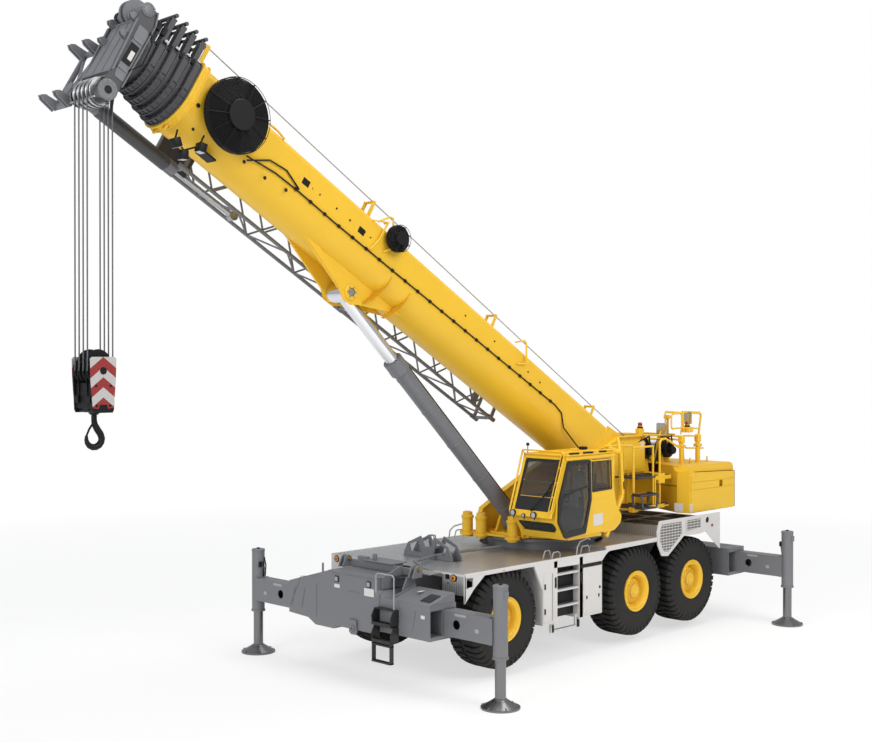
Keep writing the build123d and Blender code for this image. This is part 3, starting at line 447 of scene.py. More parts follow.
def rod(bm, a, b, r, sides=12, r_end=None):
    """A round bar, or a cone, between two points."""
    a, b = Vector(a), Vector(b)
    turn = (b - a).to_track_quat("Z", "Y").to_matrix().to_4x4()
    return bmesh.ops.create_cone(
        bm, cap_ends=True, segments=sides, radius1=r, radius2=r if r_end is None else r_end,
        depth=(b - a).length, matrix=Matrix.Translation((a + b) / 2) @ turn,
    )["verts"]


def rail(bm, points, r, sides=8):
    """Tube bent through the points, with a ball in each bend."""
    for a, b in zip(points, points[1:]):
        rod(bm, a, b, r, sides)
    for spot in points[1:-1]:
        bmesh.ops.create_icosphere(bm, subdivisions=1, radius=r * 1.03, matrix=Matrix.Translation(spot))


def plate(bm, points, normal, span, edge=0.0):
    """An outline in the plane square to an axis, carried over a (low, high) span."""
    face = flat(bm, points, normal, span[0])
    moved = thicken(bm, [face], along_axis(normal, span))
    made = list(face.verts) + moved
    return soften(bm, made, edge) if edge else made


def beam(bm, a, b, width, depth, edge=0.003):
    """A flat bar between two points: width runs level, depth square to it."""
    a, b = Vector(a), Vector(b)
    turn = (b - a).to_track_quat("X", "Z").to_matrix().to_4x4()
    part = bmesh.new()
    block(
        part, (-(b - a).length / 2, (b - a).length / 2), (-width / 2, width / 2),
        (-depth / 2, depth / 2), edge,
    )
    join(bm, part, Matrix.Translation((a + b) / 2) @ turn)


def panel(bm, points, normal, span, corner=0.04, rim=0.0, edge=0.0):
    """A flat panel with rounded corners; with a rim it is an open frame of that width."""
    part = bmesh.new()
    flat(part, points, normal, span[0])
    if corner:
        bevel(part, list(part.verts), corner, 4, "VERTICES")
    if rim:
        bmesh.ops.recalc_face_normals(part, faces=part.faces)
        inset = bmesh.ops.inset_region(
            part, faces=list(part.faces), thickness=rim, use_even_offset=True, use_boundary=True,
        )
        keep_faces(part, inset["faces"])
    thicken(part, list(part.faces), along_axis(normal, span))
    if edge:
        bevel(part, [e for e in part.edges if e.calc_face_angle(0) > 1.0], edge)
    join(bm, part)


def lathe(bm, profile, centre, axis=(0, 1, 0), steps=32, closed=False):
    """Spins (radius, height) points about an axis through the centre."""
    axis, centre = Vector(axis), Vector(centre)
    out = Vector((1, 0, 0)) if abs(axis.x) < 0.9 else Vector((0, 0, 1))
    verts = [bm.verts.new(centre + out * r + axis * h) for r, h in profile]
    edges = [bm.edges.new(pair) for pair in zip(verts, verts[1:])]
    if closed:
        edges.append(bm.edges.new((verts[-1], verts[0])))
    bmesh.ops.spin(
        bm, geom=verts + edges, cent=centre, axis=axis, angle=math.tau, steps=steps,
        use_merge=True, dvec=(0, 0, 0),
    )
    return verts


def copies(bm, verts, matrices):
    """Copies the faces on these vertices once for each matrix."""
    faces = list({f for v in verts for f in v.link_faces})
    for matrix in matrices:
        made = bmesh.ops.duplicate(bm, geom=faces)["geom"]
        bmesh.ops.transform(bm, matrix=matrix, verts=verts_in(made))


def join(bm, part, matrix=None):
    """Moves all of one bmesh into another, through a matrix if one is given."""
    if matrix is not None:
        bmesh.ops.transform(part, matrix=matrix, verts=part.verts)
    data = bpy.data.meshes.new("part")
    part.to_mesh(data)
    part.free()
    bm.from_mesh(data)
    bpy.data.meshes.remove(data)


def turns(count, centre, axis="Y"):
    """Matrices that turn a piece round a centre in equal steps."""
    here, back = Matrix.Translation(centre), Matrix.Translation(-Vector(centre))
    return [here @ Matrix.Rotation(math.tau * i / count, 4, axis) @ back for i in range(1, count)]


def mirrored(bm):
    """Adds the other side's copy across the crane's middle plane."""
    made = bmesh.ops.duplicate(bm, geom=list(bm.faces))["geom"]
    bmesh.ops.scale(bm, vec=(1, -1, 1), verts=verts_in(made))


def piece(bm, name, body, material, place=CARRIER, crisp=32, replaces=()):
    """Closes a bmesh into an object in the row's frame, riding on a CAD body if one is named."""
    bmesh.ops.remove_doubles(
        bm, verts=[v for v in bm.verts if len(v.link_faces) == 0 or v.is_boundary], dist=0.0001,
    )
    bmesh.ops.recalc_face_normals(bm, faces=bm.faces)
    bmesh.ops.transform(bm, matrix=place, verts=bm.verts)
    data = bpy.data.meshes.new(name)
    bm.to_mesh(data)
    bm.free()
    data.polygons.foreach_set("use_smooth", [True] * len(data.polygons))
    data.set_sharp_from_angle(angle=math.radians(crisp))
    data.materials.append(material)
    thing = bpy.data.objects.new(name, data)
    bpy.context.scene.collection.objects.link(thing)
    if replaces:
        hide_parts(*replaces)
    if body:
        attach(thing, body)
    print(name, len(data.polygons), "faces, on", body or "two bodies")
    return thing


# %% [markdown]
# The tyres are wide earthmover tyres: a round-shouldered carcass with deep lugs that run in
# from both shoulders and stop short of the middle. One lug is cut from a cube, bent to the
# tyre's curve, and copied round; the other side's lugs sit half a step further on.

# %% Tyres
TYRE_R, TRACK_Y, HUB_Z = 0.86, 1.352, 0.985
CARCASS = [
    (0.32, 0.258), (0.398, 0.294), (0.43, 0.322), (0.47, 0.333), (0.49, 0.33), (0.56, 0.334),
    (0.64, 0.33), (0.655, 0.324), (0.72, 0.318), (0.775, 0.292), (0.806, 0.24), (0.818, 0.15), (0.822, 0.0),
]


def crown(y):
    """Height of the tread at a distance from the tyre's middle."""
    return 0.858 - 0.2 * max(0.0, abs(y) - 0.14) ** 2 * 4


def tyre(name, body, node, x, side):
    """A carcass with two rings of lugs."""
    bm = bmesh.new()
    profile = CARCASS + [(r, -y) for r, y in reversed(CARCASS[:-1])]
    centre = (x, side * TRACK_Y, HUB_Z)
    lathe(bm, profile, centre, steps=72, closed=True)
    for half in (-1, 1):
        part = bmesh.new()
        cube = bmesh.ops.create_cube(part, size=1)["verts"]
        bmesh.ops.scale(part, vec=(0.105, 0.29, 0.06), verts=cube)
        bmesh.ops.translate(part, vec=(0, 0.179, 0), verts=cube)
        along = [e for e in part.edges if abs(e.verts[0].co.y - e.verts[1].co.y) > 0.1]
        bmesh.ops.subdivide_edges(part, edges=along, cuts=4)
        lug = list(part.verts)
        for v in lug:
            y = v.co.y
            angle = (v.co.x * (0.62 + 0.9 * y) - 0.2 * (0.32 - y) + (0.0655 if half > 0 else 0.0)) / TYRE_R
            top = v.co.z > 0
            r = crown(y) if top else 0.79 - 0.35 * max(0.0, y - 0.22)
            if y > 0.3:
                r -= 0.055 if top else 0.05
            v.co = Vector(centre) + Vector((math.sin(angle) * r, half * y, math.cos(angle) * r))
        copies(part, lug, turns(40, centre))
        join(bm, part)
    return piece(bm, name, body, RUBBER, replaces=(node,))


AXLES = (("1", FRONT_AXLE_X), ("2", -0.88), ("3", -2.79))
SIDES = (("left", 1), ("right", -1))
for number, axle_x in AXLES:
    for side_name, side in SIDES:
        tyre(
            f"lugged_tyre_{number}_{side_name}", f"wheel_{number}_{side_name}",
            f"tyre_{number}_{side_name}", axle_x, side,
        )

# %% [markdown]
# Each rim is a pressed well with a thick flange ring, a lock ring inside it, a deep dished disc
# and the planetary hub's stepped cover in the middle, with a ring of wheel nuts. All of it is one
# outline spun about the axle, as a rim is turned on a lathe, and one nut copied round.

# %% Rims
RIM = [
    (0.317, 0.262), (0.392, 0.295), (0.393, 0.314), (0.384, 0.319), (0.372, 0.312), (0.352, 0.297),
    (0.335, 0.296), (0.327, 0.305), (0.314, 0.306), (0.3, 0.292), (0.29, 0.262), (0.276, 0.18),
    (0.262, 0.158), (0.245, 0.156), (0.236, 0.17), (0.228, 0.206), (0.216, 0.214), (0.16, 0.218),
    (0.15, 0.232), (0.132, 0.262), (0.092, 0.272), (0.086, 0.286), (0.06, 0.29), (0.054, 0.28),
    (0.0, 0.279),
]
RIM_BACK = [
    (0.317, -0.262), (0.392, -0.295), (0.393, -0.314), (0.38, -0.317), (0.3, -0.29), (0.296, 0.1),
    (0.2, 0.12), (0.0, 0.12),
]


def rim(name, body, node, x, side):
    """A spun well and disc with two rings of nuts."""
    bm = bmesh.new()
    centre = Vector((x, side * TRACK_Y, HUB_Z))
    lathe(bm, [(r, side * y) for r, y in RIM + RIM_BACK[::-1]], centre, steps=64, closed=True)
    for radius, count, size, height in ((0.19, 16, 0.0135, 0.24), (0.113, 10, 0.009, 0.279)):
        spot = centre + Vector((0, side * (height - 0.034), radius))
        nut = rod(bm, spot, spot + Vector((0, side * 0.034, 0)), size, 6)
        copies(bm, nut, turns(count, centre))
    return piece(bm, name, body, YELLOW, replaces=(node,))


for number, axle_x in AXLES:
    for side_name, side in SIDES:
        rim(
            f"dished_rim_{number}_{side_name}", f"wheel_{number}_{side_name}",
            f"rim_{number}_{side_name}", axle_x, side,
        )

# %% [markdown]
# The big reel on the boom's left side and the small one behind it hold cables. Each is a flat
# wire basket: a plain drum in the middle, cable wound over the face, and thin rods that hold it
# in, between two wire rings. Everything is spun or copied round the shaft, because the reel turns
# on it.

# %% Cable reels
CABLE_PITCH = 0.021


def reel_basket(name, body, node, s, n, y0, y1, r, hub, spokes):
    """A drum, the cable on it, two wire rings and the rods between them."""
    bm = bmesh.new()
    centre = Vector((s, 0, n))
    lathe(bm, [
        (0.0, y0), (r * 0.965, y0), (r * 0.965, y0 + 0.012), (r * 0.94, y0 + 0.075),
        (hub * 1.05, y1 - 0.075), (0.0, y1 - 0.075),
    ], centre, steps=56)
    lathe(bm, [
        (0.0, y1 - 0.09), (hub, y1 - 0.09), (hub, y1 - 0.016), (hub * 0.96, y1 - 0.006),
        (0.0, y1 - 0.006),
    ], centre, steps=40)
    for i in range(int((r - hub) / CABLE_PITCH)):
        at = hub + 0.014 + i * CABLE_PITCH
        depth = y1 - 0.07 + (y0 + 0.085 - y1 + 0.07) * (at - hub) / (r - hub)
        lathe(bm, [
            (at - 0.0085, depth), (at - 0.006, depth + 0.008), (at, depth + 0.011),
            (at + 0.006, depth + 0.008), (at + 0.0085, depth),
        ], centre, steps=40)
    for edge_y in (y0 + 0.03, y0 + 0.135):
        lathe(bm, [
            (r - 0.012, edge_y), (r - 0.006, edge_y + 0.006), (r, edge_y), (r - 0.006, edge_y - 0.006),
        ], centre, steps=56, closed=True)
    arm = [
        centre + Vector((0, y0 + 0.03, r - 0.006)), centre + Vector((0, y0 + 0.135, r - 0.006)),
        centre + Vector((0, y1 - 0.02, hub * 0.9)),
    ]
    part = bmesh.new()
    rail(part, arm, 0.006, 6)
    copies(part, list(part.verts), turns(spokes, centre))
    join(bm, part)
    return piece(bm, name, body, BLACK, BOOM, replaces=(node,))


reel_basket(
    "cable_basket_large", "hose_reel", "hose_reel", 11.43, -0.27, 0.545, 0.765, 0.575, 0.235, 12,
)
reel_basket("cable_basket_small", "cable_reel", "cable_reel", 7.75, 0.01, 0.545, 0.725, 0.232, 0.12, 8)

# %% [markdown]
# The hook block is two black cheek plates with rounded tops, grooved sheaves between them,
# and a warning plate on each cheek with the red and white chevrons that every such block
# carries. The stripes are a pattern on Object coordinates, so they ride with it.

# %% Hook block
nose_low, nose_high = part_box("nose_sheaves")
NOSE = (nose_low + nose_high) / 2
block_low, block_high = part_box("hook_block")
BX, BZ = NOSE.x - SHIFT, (block_low.z + block_high.z) / 2
FALL_YS = (-0.168, -0.056, 0.056, 0.168)
CHEVRON_SLOPE, CHEVRON_PITCH = 0.78, 0.284
print("hook block centre", round(BX, 3), round(BZ, 3))


def chevron_material():
    """Red and white bands that fall away on both sides of the block's middle."""
    material, tree, life, bsdf = finish("red_white_chevrons", Coat_Weight=0.2)
    place = add(tree, "ShaderNodeTexCoord")
    axes = add(tree, "ShaderNodeSeparateXYZ")
    link(tree, place.outputs["Object"], axes.inputs[0])
    away = calc(tree, "ABSOLUTE", calc(tree, "SUBTRACT", axes.outputs["X"], NOSE.x))
    height = calc(tree, "MULTIPLY_ADD", away, CHEVRON_SLOPE, axes.outputs["Z"])
    first = -(BZ + 0.385) / CHEVRON_PITCH + 20
    part = calc(tree, "FRACT", calc(tree, "MULTIPLY_ADD", height, 1 / CHEVRON_PITCH, first))
    band = calc(tree, "GREATER_THAN", part, 0.5)
    colour = mix_colour(tree, band, (0.47, 0.45, 0.44), (0.26, 0.018, 0.016))
    link(tree, colour, bsdf.inputs["Base Color"])
    roughen(tree, life.outputs["Tone"], 0.3, 0.45, bsdf)
    return material


CHEVRON = chevron_material()


def arc(cx, cz, r, start, end, count):
    """Points on a circle, for an outline's rounded end."""
    return [
        (
            cx + r * math.cos(math.radians(start + (end - start) * i / count)),
            cz + r * math.sin(math.radians(start + (end - start) * i / count)),
        )
        for i in range(count + 1)
    ]


cheeks = bmesh.new()
outline = [
    (BX - 0.155, BZ - 0.4), (BX + 0.155, BZ - 0.4), (BX + 0.175, BZ - 0.36), (BX + 0.198, BZ + 0.1),
]
outline += arc(BX, BZ + 0.19, 0.2, -10, 190, 18) + [(BX - 0.198, BZ + 0.1), (BX - 0.175, BZ - 0.36)]
plate(cheeks, outline, "y", (0.218, 0.246), 0.004)
for dx, dz, r, sides in (
    (0.0, 0.19, 0.052, 16), (0.105, -0.3, 0.02, 6), (-0.105, -0.3, 0.02, 6), (0.115, -0.02, 0.02, 6),
    (-0.115, -0.02, 0.02, 6),
):
    rod(cheeks, (BX + dx, 0.24, BZ + dz), (BX + dx, 0.259, BZ + dz), r, sides)
plate(cheeks, [
    (BX - 0.06, BZ - 0.4), (BX + 0.06, BZ - 0.4), (BX + 0.09, BZ - 0.3), (BX - 0.09, BZ - 0.3),
], "y", (0.1, 0.22))
for dx in (-0.2, 0.2):
    block(cheeks, about(BX + dx * 0.92, 0.012), (0.1, 0.218), (BZ - 0.26, BZ - 0.16), 0.003)
mirrored(cheeks)
block(cheeks, about(BX, 0.13), (-0.2, 0.2), (BZ - 0.395, BZ - 0.24), 0.02, 2)
for x in ((BX - 0.16, BX - 0.135), (BX + 0.135, BX + 0.16)):
    block(cheeks, x, (-0.22, 0.22), (BZ - 0.34, BZ + 0.02), 0.004)
rod(cheeks, (BX, 0, BZ - 0.36), (BX, 0, BZ - 0.415), 0.085, 24, 0.075)
for y in (-0.118, 0.106):
    plate(
        cheeks,
        [(BX - 0.16, BZ - 0.36), (BX + 0.16, BZ - 0.36)] + arc(BX, BZ + 0.29, 0.205, -4, 184, 20), "y",
        (y, y + 0.012), 0.003,
    )
for y in FALL_YS:
    groove = [
        (0.05, y - 0.028), (0.209, y - 0.026), (0.21, y - 0.021), (0.187, y - 0.008),
        (0.187, y + 0.008), (0.21, y + 0.021), (0.209, y + 0.026), (0.05, y + 0.028),
    ]
    lathe(cheeks, groove, (BX, 0, BZ + 0.19), steps=40, closed=True)
rod(cheeks, (BX, -0.23, BZ + 0.19), (BX, 0.23, BZ + 0.19), 0.055, 20)
piece(cheeks, "hook_block_cheeks", "block", BLACK, replaces=("hook_block",))

signs = bmesh.new()
sign = [
    (BX - 0.165, BZ - 0.33), (BX - 0.075, BZ - 0.345), (BX - 0.055, BZ - 0.285),
    (BX + 0.055, BZ - 0.285), (BX + 0.075, BZ - 0.345), (BX + 0.165, BZ - 0.33),
]
sign += [
    (BX + 0.198, BZ + 0.05), (BX + 0.207, BZ + 0.36), (BX + 0.18, BZ + 0.385), (BX - 0.18, BZ + 0.385),
    (BX - 0.207, BZ + 0.36), (BX - 0.198, BZ + 0.05),
]
plate(signs, sign, "y", (0.2475, 0.2535))
mirrored(signs)
piece(signs, "chevron_plates", "block", CHEVRON)

# %% [markdown]
# A forged hook has a section that swells at the back of the bowl and thins to the tip. It is
# made from short cones along its centre line, each starting where the last one ended, with
# balls between them, and a sprung latch across its mouth.

# %% Hook
hook_low, hook_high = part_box("hook")
HZ, BOWL_R = hook_low.z + 0.165, 0.122
hook = bmesh.new()
line = [
    ((0, 0.42), 0.04), ((0, 0.26), 0.04), ((-0.01, 0.2), 0.044), ((-0.05, 0.13), 0.048),
    ((-0.098, 0.065), 0.048),
]
for angle, r in (
    (180, 0.046), (205, 0.047), (230, 0.048), (255, 0.047), (280, 0.045), (305, 0.041), (330, 0.036),
    (352, 0.03), (12, 0.022),
):
    tip_lift = 0.01 if angle == 12 else 0.0
    turn = math.radians(angle)
    line.append(((BOWL_R * math.cos(turn), BOWL_R * math.sin(turn) + tip_lift), r))
for ((ax, az), ar), ((bx, bz), br) in zip(line, line[1:]):
    rod(hook, (BX + ax, 0, HZ + az), (BX + bx, 0, HZ + bz), ar, 20, br)
    bmesh.ops.create_uvsphere(
        hook, u_segments=20, v_segments=12, radius=br, matrix=Matrix.Translation((BX + bx, 0, HZ + bz)),
    )
rod(hook, (BX, 0, HZ + 0.34), (BX, 0, HZ + 0.4), 0.062, 24, 0.058)
for side in (-1, 1):
    wire = [(0.03, 0.016, 0.2), (0.075, 0.016, 0.14), (0.118, 0.012, 0.045)]
    rail(hook, [(BX + dx, side * y, HZ + dz) for dx, y, dz in wire], 0.008)
piece(hook, "forged_hook", "hook", BLACK, replaces=("hook",))

# %% [markdown]
# Wire rope is strands laid in a helix. The falls are straight, so stripes that climb round
# them, made from Object coordinates, and a little bump give the lay of the strands.

# %% Wire rope finish
def rope_material():
    """Slanting strands, light on dark, that also stand out a little."""
    material, tree, _, bsdf = finish("wire_rope_lay", Metallic=0.75)
    place = add(tree, "ShaderNodeTexCoord")
    turn = add(tree, "ShaderNodeMapping")
    turn.inputs["Rotation"].default_value = (0, math.radians(30), math.radians(45))
    wave = add(tree, "ShaderNodeTexWave", Scale=36.0, Distortion=0.4)
    strands = wave.outputs["Fac"]
    link(tree, place.outputs["Object"], turn.inputs[0])
    link(tree, turn.outputs[0], wave.inputs["Vector"])
    link(
        tree, mix_colour(tree, strands, (0.05, 0.05, 0.055), (0.22, 0.22, 0.23)),
        bsdf.inputs["Base Color"],
    )
    roughen(tree, strands, 0.35, 0.6, bsdf)
    emboss(tree, strands, 0.3, 0.003, bsdf)
    return material


ROPE = rope_material()
print(ROPE.name, len(ROPE.node_tree.nodes), "shader nodes")

# %% [markdown]
# The falls hang between the head sheaves and the hook block. As the hook is hoisted they
# grow shorter from below, so they are drawn up towards the head sheaves with that joint.

# %% Hoist falls
FALL_R, HOIST_TRAVEL = 0.011, 3.2
falls_low, falls_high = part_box("hoist_falls")
falls = bmesh.new()
for x in (falls_low.x + FALL_R, falls_high.x - FALL_R):
    for y in FALL_YS:
        rod(falls, (x - SHIFT, y, falls_low.z), (x - SHIFT, y, falls_high.z), FALL_R, 10)
hoist_ropes = piece(falls, "hoist_ropes", "falls", ROPE, replaces=("hoist_falls",))
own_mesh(hoist_ropes)

# %% [markdown]
# The outside of the lift cylinder: a gland ring and bolts at the barrel's mouth, bands that hold
# the oil pipe along it, and the pipe itself with its elbows. They are modelled along X in the
# cylinder's own frame, so that round parts can be spun and all of it swings with the barrel.

# %% Lift cylinder fittings
cylinder = bmesh.new()
lathe(cylinder, [
    (0.153, 4.2), (0.172, 4.2), (0.184, 4.215), (0.184, 4.3), (0.176, 4.31), (0.176, 4.44),
    (0.168, 4.478), (0.121, 4.48),
], (0, 0, 0), (1, 0, 0), 48)
for x in (0.45, 1.35, 2.3, 3.2, 4.05):
    lathe(cylinder, [
        (0.1525, x), (0.158, x + 0.003), (0.158, x + 0.042), (0.1525, x + 0.045),
    ], (0, 0, 0), (1, 0, 0), 40)
    block(cylinder, (x, x + 0.045), (-0.03, 0.03), (0.15, 0.172), 0.003)
bolt = rod(cylinder, (4.478, 0, 0.148), (4.492, 0, 0.148), 0.012, 6)
copies(cylinder, bolt, turns(12, (0, 0, 0), "X"))
piece(cylinder, "lift_barrel_bands", "cylinder_barrel", GREY, CYLINDER)
pipes = bmesh.new()
for y in (-0.016, 0.016):
    rail(pipes, in_plane(y, (0.2, 0.15), (0.24, 0.182), (4.18, 0.182), (4.24, 0.165)), 0.011)
piece(pipes, "lift_barrel_pipes", "cylinder_barrel", BLACK, CYLINDER)
nodes["lift_rod"].data.materials[0] = CHROME

# %% [markdown]
# Each collar of the telescope is a cast ring: thin flanges front and back, stiffening ribs
# between them all round the belly, bolts on its face, and a pale guide bar on its top. A section
# isn't round and can't be spun, so two loops of its outline are bridged and the band is
# thickened; one outline, drawn smaller, serves all four.

# %% Boom collars
SECTION_BODIES = {level: f"section_{level + 1}" for level in (1, 2, 3, 4)}
MOUTH_S, COLLAR_PITCH = 12.16, 0.19
SECTION_INSET, COLLAR_PROUD, TOP_OF_RIBS = 0.034, 0.0405, -0.02


def outline_of(level, proud, steps=14):
    """Points round a section, clockwise from its top middle, seen along the boom."""
    inset = SECTION_INSET * level - proud
    w, top, belly, r = 0.49 - inset, 0.08 - inset, -0.935 + inset + 0.49 - inset, 0.12 - inset * 0.5
    right = arc(w - r, top - r, r, 90, 0, 5) + arc(0, belly, w, 0, -90, steps)
    return right + [(-y, n) for y, n in reversed(right[:-1])]


def ring(bm, inner, outer, s):
    """A band between two like outlines, from s[0] to s[1] along the boom."""
    edges = []
    for line in (inner, outer):
        loop = [bm.verts.new((s[0], y, n)) for y, n in line]
        edges += [bm.edges.new(pair) for pair in zip(loop, loop[1:] + loop[:1])]
    band = bmesh.ops.bridge_loops(bm, edges=edges)["faces"]
    thicken(bm, band, (s[1] - s[0], 0, 0), use_keep_orig=True)


for level, body in SECTION_BODIES.items():
    front = MOUTH_S + COLLAR_PITCH * level
    bm = bmesh.new()
    base, lip = outline_of(level, COLLAR_PROUD), outline_of(level, 0.06)
    for s in ((front - 0.118, front - 0.104), (front - 0.016, front - 0.002)):
        ring(bm, base, lip, s)
    for y, n in base[2:-1:2]:
        if n > TOP_OF_RIBS:
            continue
        rib = block(bm, (front - 0.104, front - 0.016), (-0.004, 0.004), (-0.001, 0.017), 0)
        spin = Matrix.Rotation(math.atan2(-y, n + 0.36), 4, "X")
        bmesh.ops.transform(bm, matrix=Matrix.Translation((0, y, n)) @ spin, verts=rib)
        rod(bm, (front, y * 0.97, n), (front + 0.014, y * 0.97, n), 0.011, 6)
    piece(bm, f"collar_ribs_{level + 1}", body, DARK, BOOM)
    bars = bmesh.new()
    top = 0.08 - SECTION_INSET * level + COLLAR_PROUD
    for y in (-0.26, 0.3):
        block(bars, (front - 0.105, front - 0.04), about(y, 0.14), (top, top + 0.026), 0.006)
    piece(bars, f"collar_guide_bars_{level + 1}", body, WHITE, BOOM)
    small = bmesh.new()
    for y in (-0.03, 0.06):
        block(small, (front - 0.1, front - 0.02), about(y, 0.02), (top, top + 0.055), 0.004)
    for y in (-0.42, 0.42):
        block(
            small, (front - 0.09, front - 0.03), about(y * 0.88, 0.03), (top - 0.01, top + 0.02), 0.004,
        )
        rod(
            small, (front - 0.06, y * 0.88, top + 0.02), (front - 0.06, y * 0.88, top + 0.034), 0.016,
            6,
        )
    piece(small, f"collar_keepers_{level + 1}", body, BLACK, BOOM)

yellow_collar = bmesh.new()
for s in ((12.095, 12.112), (12.198, 12.222)):
    ring(yellow_collar, outline_of(0, 0.0), outline_of(0, 0.058), s)
for y in (0.3, -0.3):
    block(yellow_collar, (12.09, 12.24), about(y, 0.05), (0.1, 0.155), 0.006)
for y, n in ((0.18, -0.968), (-0.05, -0.995)):
    lathe(yellow_collar, [
        (0.028, -0.016), (0.055, -0.012), (0.055, 0.012), (0.028, 0.016),
    ], (MOUTH_S, y, n), (1, 0, 0), 20, True)
rail(yellow_collar, [
    (12.18, 0.2, 0.135), (12.18, 0.2, 0.19), (10.6, 0.44, 0.11), (10.45, 0.47, 0.06),
], 0.018, 10)
rail(yellow_collar, [(12.05, 0.1, -0.98), (11.86, 0.2, -0.93)], 0.01)
piece(yellow_collar, "boom_mouth_collar", "boom", YELLOW, BOOM)

# %% [markdown]
# The sheave head: two cheeks flanged all round, a broad face plate between them, hinge ears for
# the jib, round bearing caps, and bright rope guards between the sheaves. Plates are outlines
# given a thickness, caps are spun, and one side is modelled and mirrored.

# %% Sheave head
head = bmesh.new()
NS, NN, TS, TN = 13.25, -1.19, 13.3, 0.215
NOSE_CAP = [(0.15, 0.37), (0.15, 0.392), (0.138, 0.4), (0.098, 0.4), (0.09, 0.393), (0.0605, 0.393)]
TOP_CAP = [(0.105, 0.37), (0.105, 0.385), (0.085, 0.395), (0.0, 0.398)]
for s, n, cap in ((NS, NN, NOSE_CAP), (TS, TN, TOP_CAP)):
    lathe(head, cap, (s, 0, n), steps=36)
    bolt_n = n + cap[0][0] - 0.022
    bolt = rod(head, (s, 0.398, bolt_n), (s, 0.408, bolt_n), 0.009, 6)
    copies(head, bolt, turns(10, (s, 0, n)))
flange = [
    ((13.095, -1.03), (13.095, 0.05)), ((13.09, 0.06), (13.16, 0.27)),
    ((13.385, -0.02), (13.34, -0.9)),
]
for a, b in flange:
    way = Vector((b[0] - a[0], 0, b[1] - a[1]))
    strip = block(head, (0, way.length), (0.371, 0.412), (-0.008, 0.008), 0.003)
    turn = Matrix.Rotation(-math.atan2(way.z, way.x), 4, "Y")
    bmesh.ops.transform(head, matrix=Matrix.Translation((a[0], 0, a[1])) @ turn, verts=strip)
plate(head, [
    (13.115, -0.95), (13.115, -0.1), (13.145, -0.06), (13.31, -0.06), (13.29, -0.86), (13.26, -0.95),
], "y", (0.371, 0.379), 0.003)
for n in (-0.78, -0.28):
    block(head, (13.13, 13.3), (0.379, 0.394), about(n, 0.03), 0.004)
for s, n in ((13.36, -0.3), (13.36, 0.02)):
    for dy in (-0.042, 0.018):
        ear = [
            (s - 0.03, n - 0.06), (s + 0.09, n - 0.045), (s + 0.125, n), (s + 0.09, n + 0.045),
            (s - 0.03, n + 0.06),
        ]
        plate(head, ear, "y", (0.285 + dy, 0.309 + dy), 0.003)
mirrored(head)
block(head, (13.341, 13.356), (-0.345, 0.345), (-0.93, 0.02), 0.004)
for n in (-0.93, 0.0):
    block(head, (13.3, 13.375), (-0.345, 0.345), about(n, 0.012), 0.003)
for y in (-0.12, 0.12):
    block(head, (13.356, 13.364), about(y, 0.005), (-0.9, -0.02), 0)
piece(head, "head_plates", "head", GREY, BOOM)

guards = bmesh.new()
for y in (-0.224, -0.112, 0.0, 0.112, 0.224):
    lathe(guards, [
        (0.065, y - 0.004), (0.196, y - 0.004), (0.199, y), (0.196, y + 0.004), (0.065, y + 0.004),
    ], (NS, 0, NN), steps=40, closed=True)
for dn in (-0.19, 0.19):
    rod(guards, (NS + 0.1, -0.33, NN + dn * 0.95), (NS + 0.1, 0.33, NN + dn * 0.95), 0.012, 10)
piece(guards, "nose_rope_guards", "head", STEEL, BOOM)
nodes["nose_sheaves"].data.materials[0] = STEEL
nodes["top_sheaves"].data.materials[0] = GREY
dark_bits = bmesh.new()
rod(dark_bits, (NS, 0.386, NN), (NS, 0.394, NN), 0.06, 28)
block(dark_bits, (13.14, 13.29), (0.3795, 0.3835), (-0.7, -0.36), 0)
rail(dark_bits, [
    (13.12, 0.4, -0.06), (13.02, 0.41, -0.2), (13.0, 0.41, -0.55), (13.12, 0.4, -0.75),
], 0.012)
for s, y, n, size in (
    (12.93, 0.34, 0.16, 0.035), (13.02, 0.3, 0.2, 0.03), (13.05, -0.3, 0.17, 0.03),
):
    block(dark_bits, about(s, size), about(y, size), (n - 0.1, n + size), 0.006)
rod(dark_bits, (13.12, 0.3, -1.16), (13.0, 0.3, -1.45), 0.028, 12, 0.02)
piece(dark_bits, "head_dark_fittings", "head", BLACK, BOOM)
label = bmesh.new()
block(label, (13.16, 13.23), (0.3836, 0.3846), (-0.62, -0.47), 0)
piece(label, "head_blank_plate", "head", WHITE, BOOM)
anemometer = bmesh.new()
rail(anemometer, [(13.35, 0.2, 0.3), (13.3, 0.24, 0.36), (13.18, 0.3, 0.345)], 0.008)
rail(anemometer, [(13.05, -0.22, 0.2), (13.2, -0.28, 0.335), (13.36, -0.24, 0.31)], 0.008)
for y in (-0.3, 0.3):
    block(anemometer, (13.24, 13.34), about(y, 0.012), (0.3, 0.345), 0.003)
piece(anemometer, "head_top_guards", "head", LIGHT_GREY, BOOM)

# %% [markdown]
# Along the boom's left side runs a black hose line held by clips, with the big reel's cable
# leading into it. Round plugs, two slots and the bracket plates are the boom's other marks. A
# hose this thin needs no curve: straight tubes with a ball in each bend read as one bent hose.

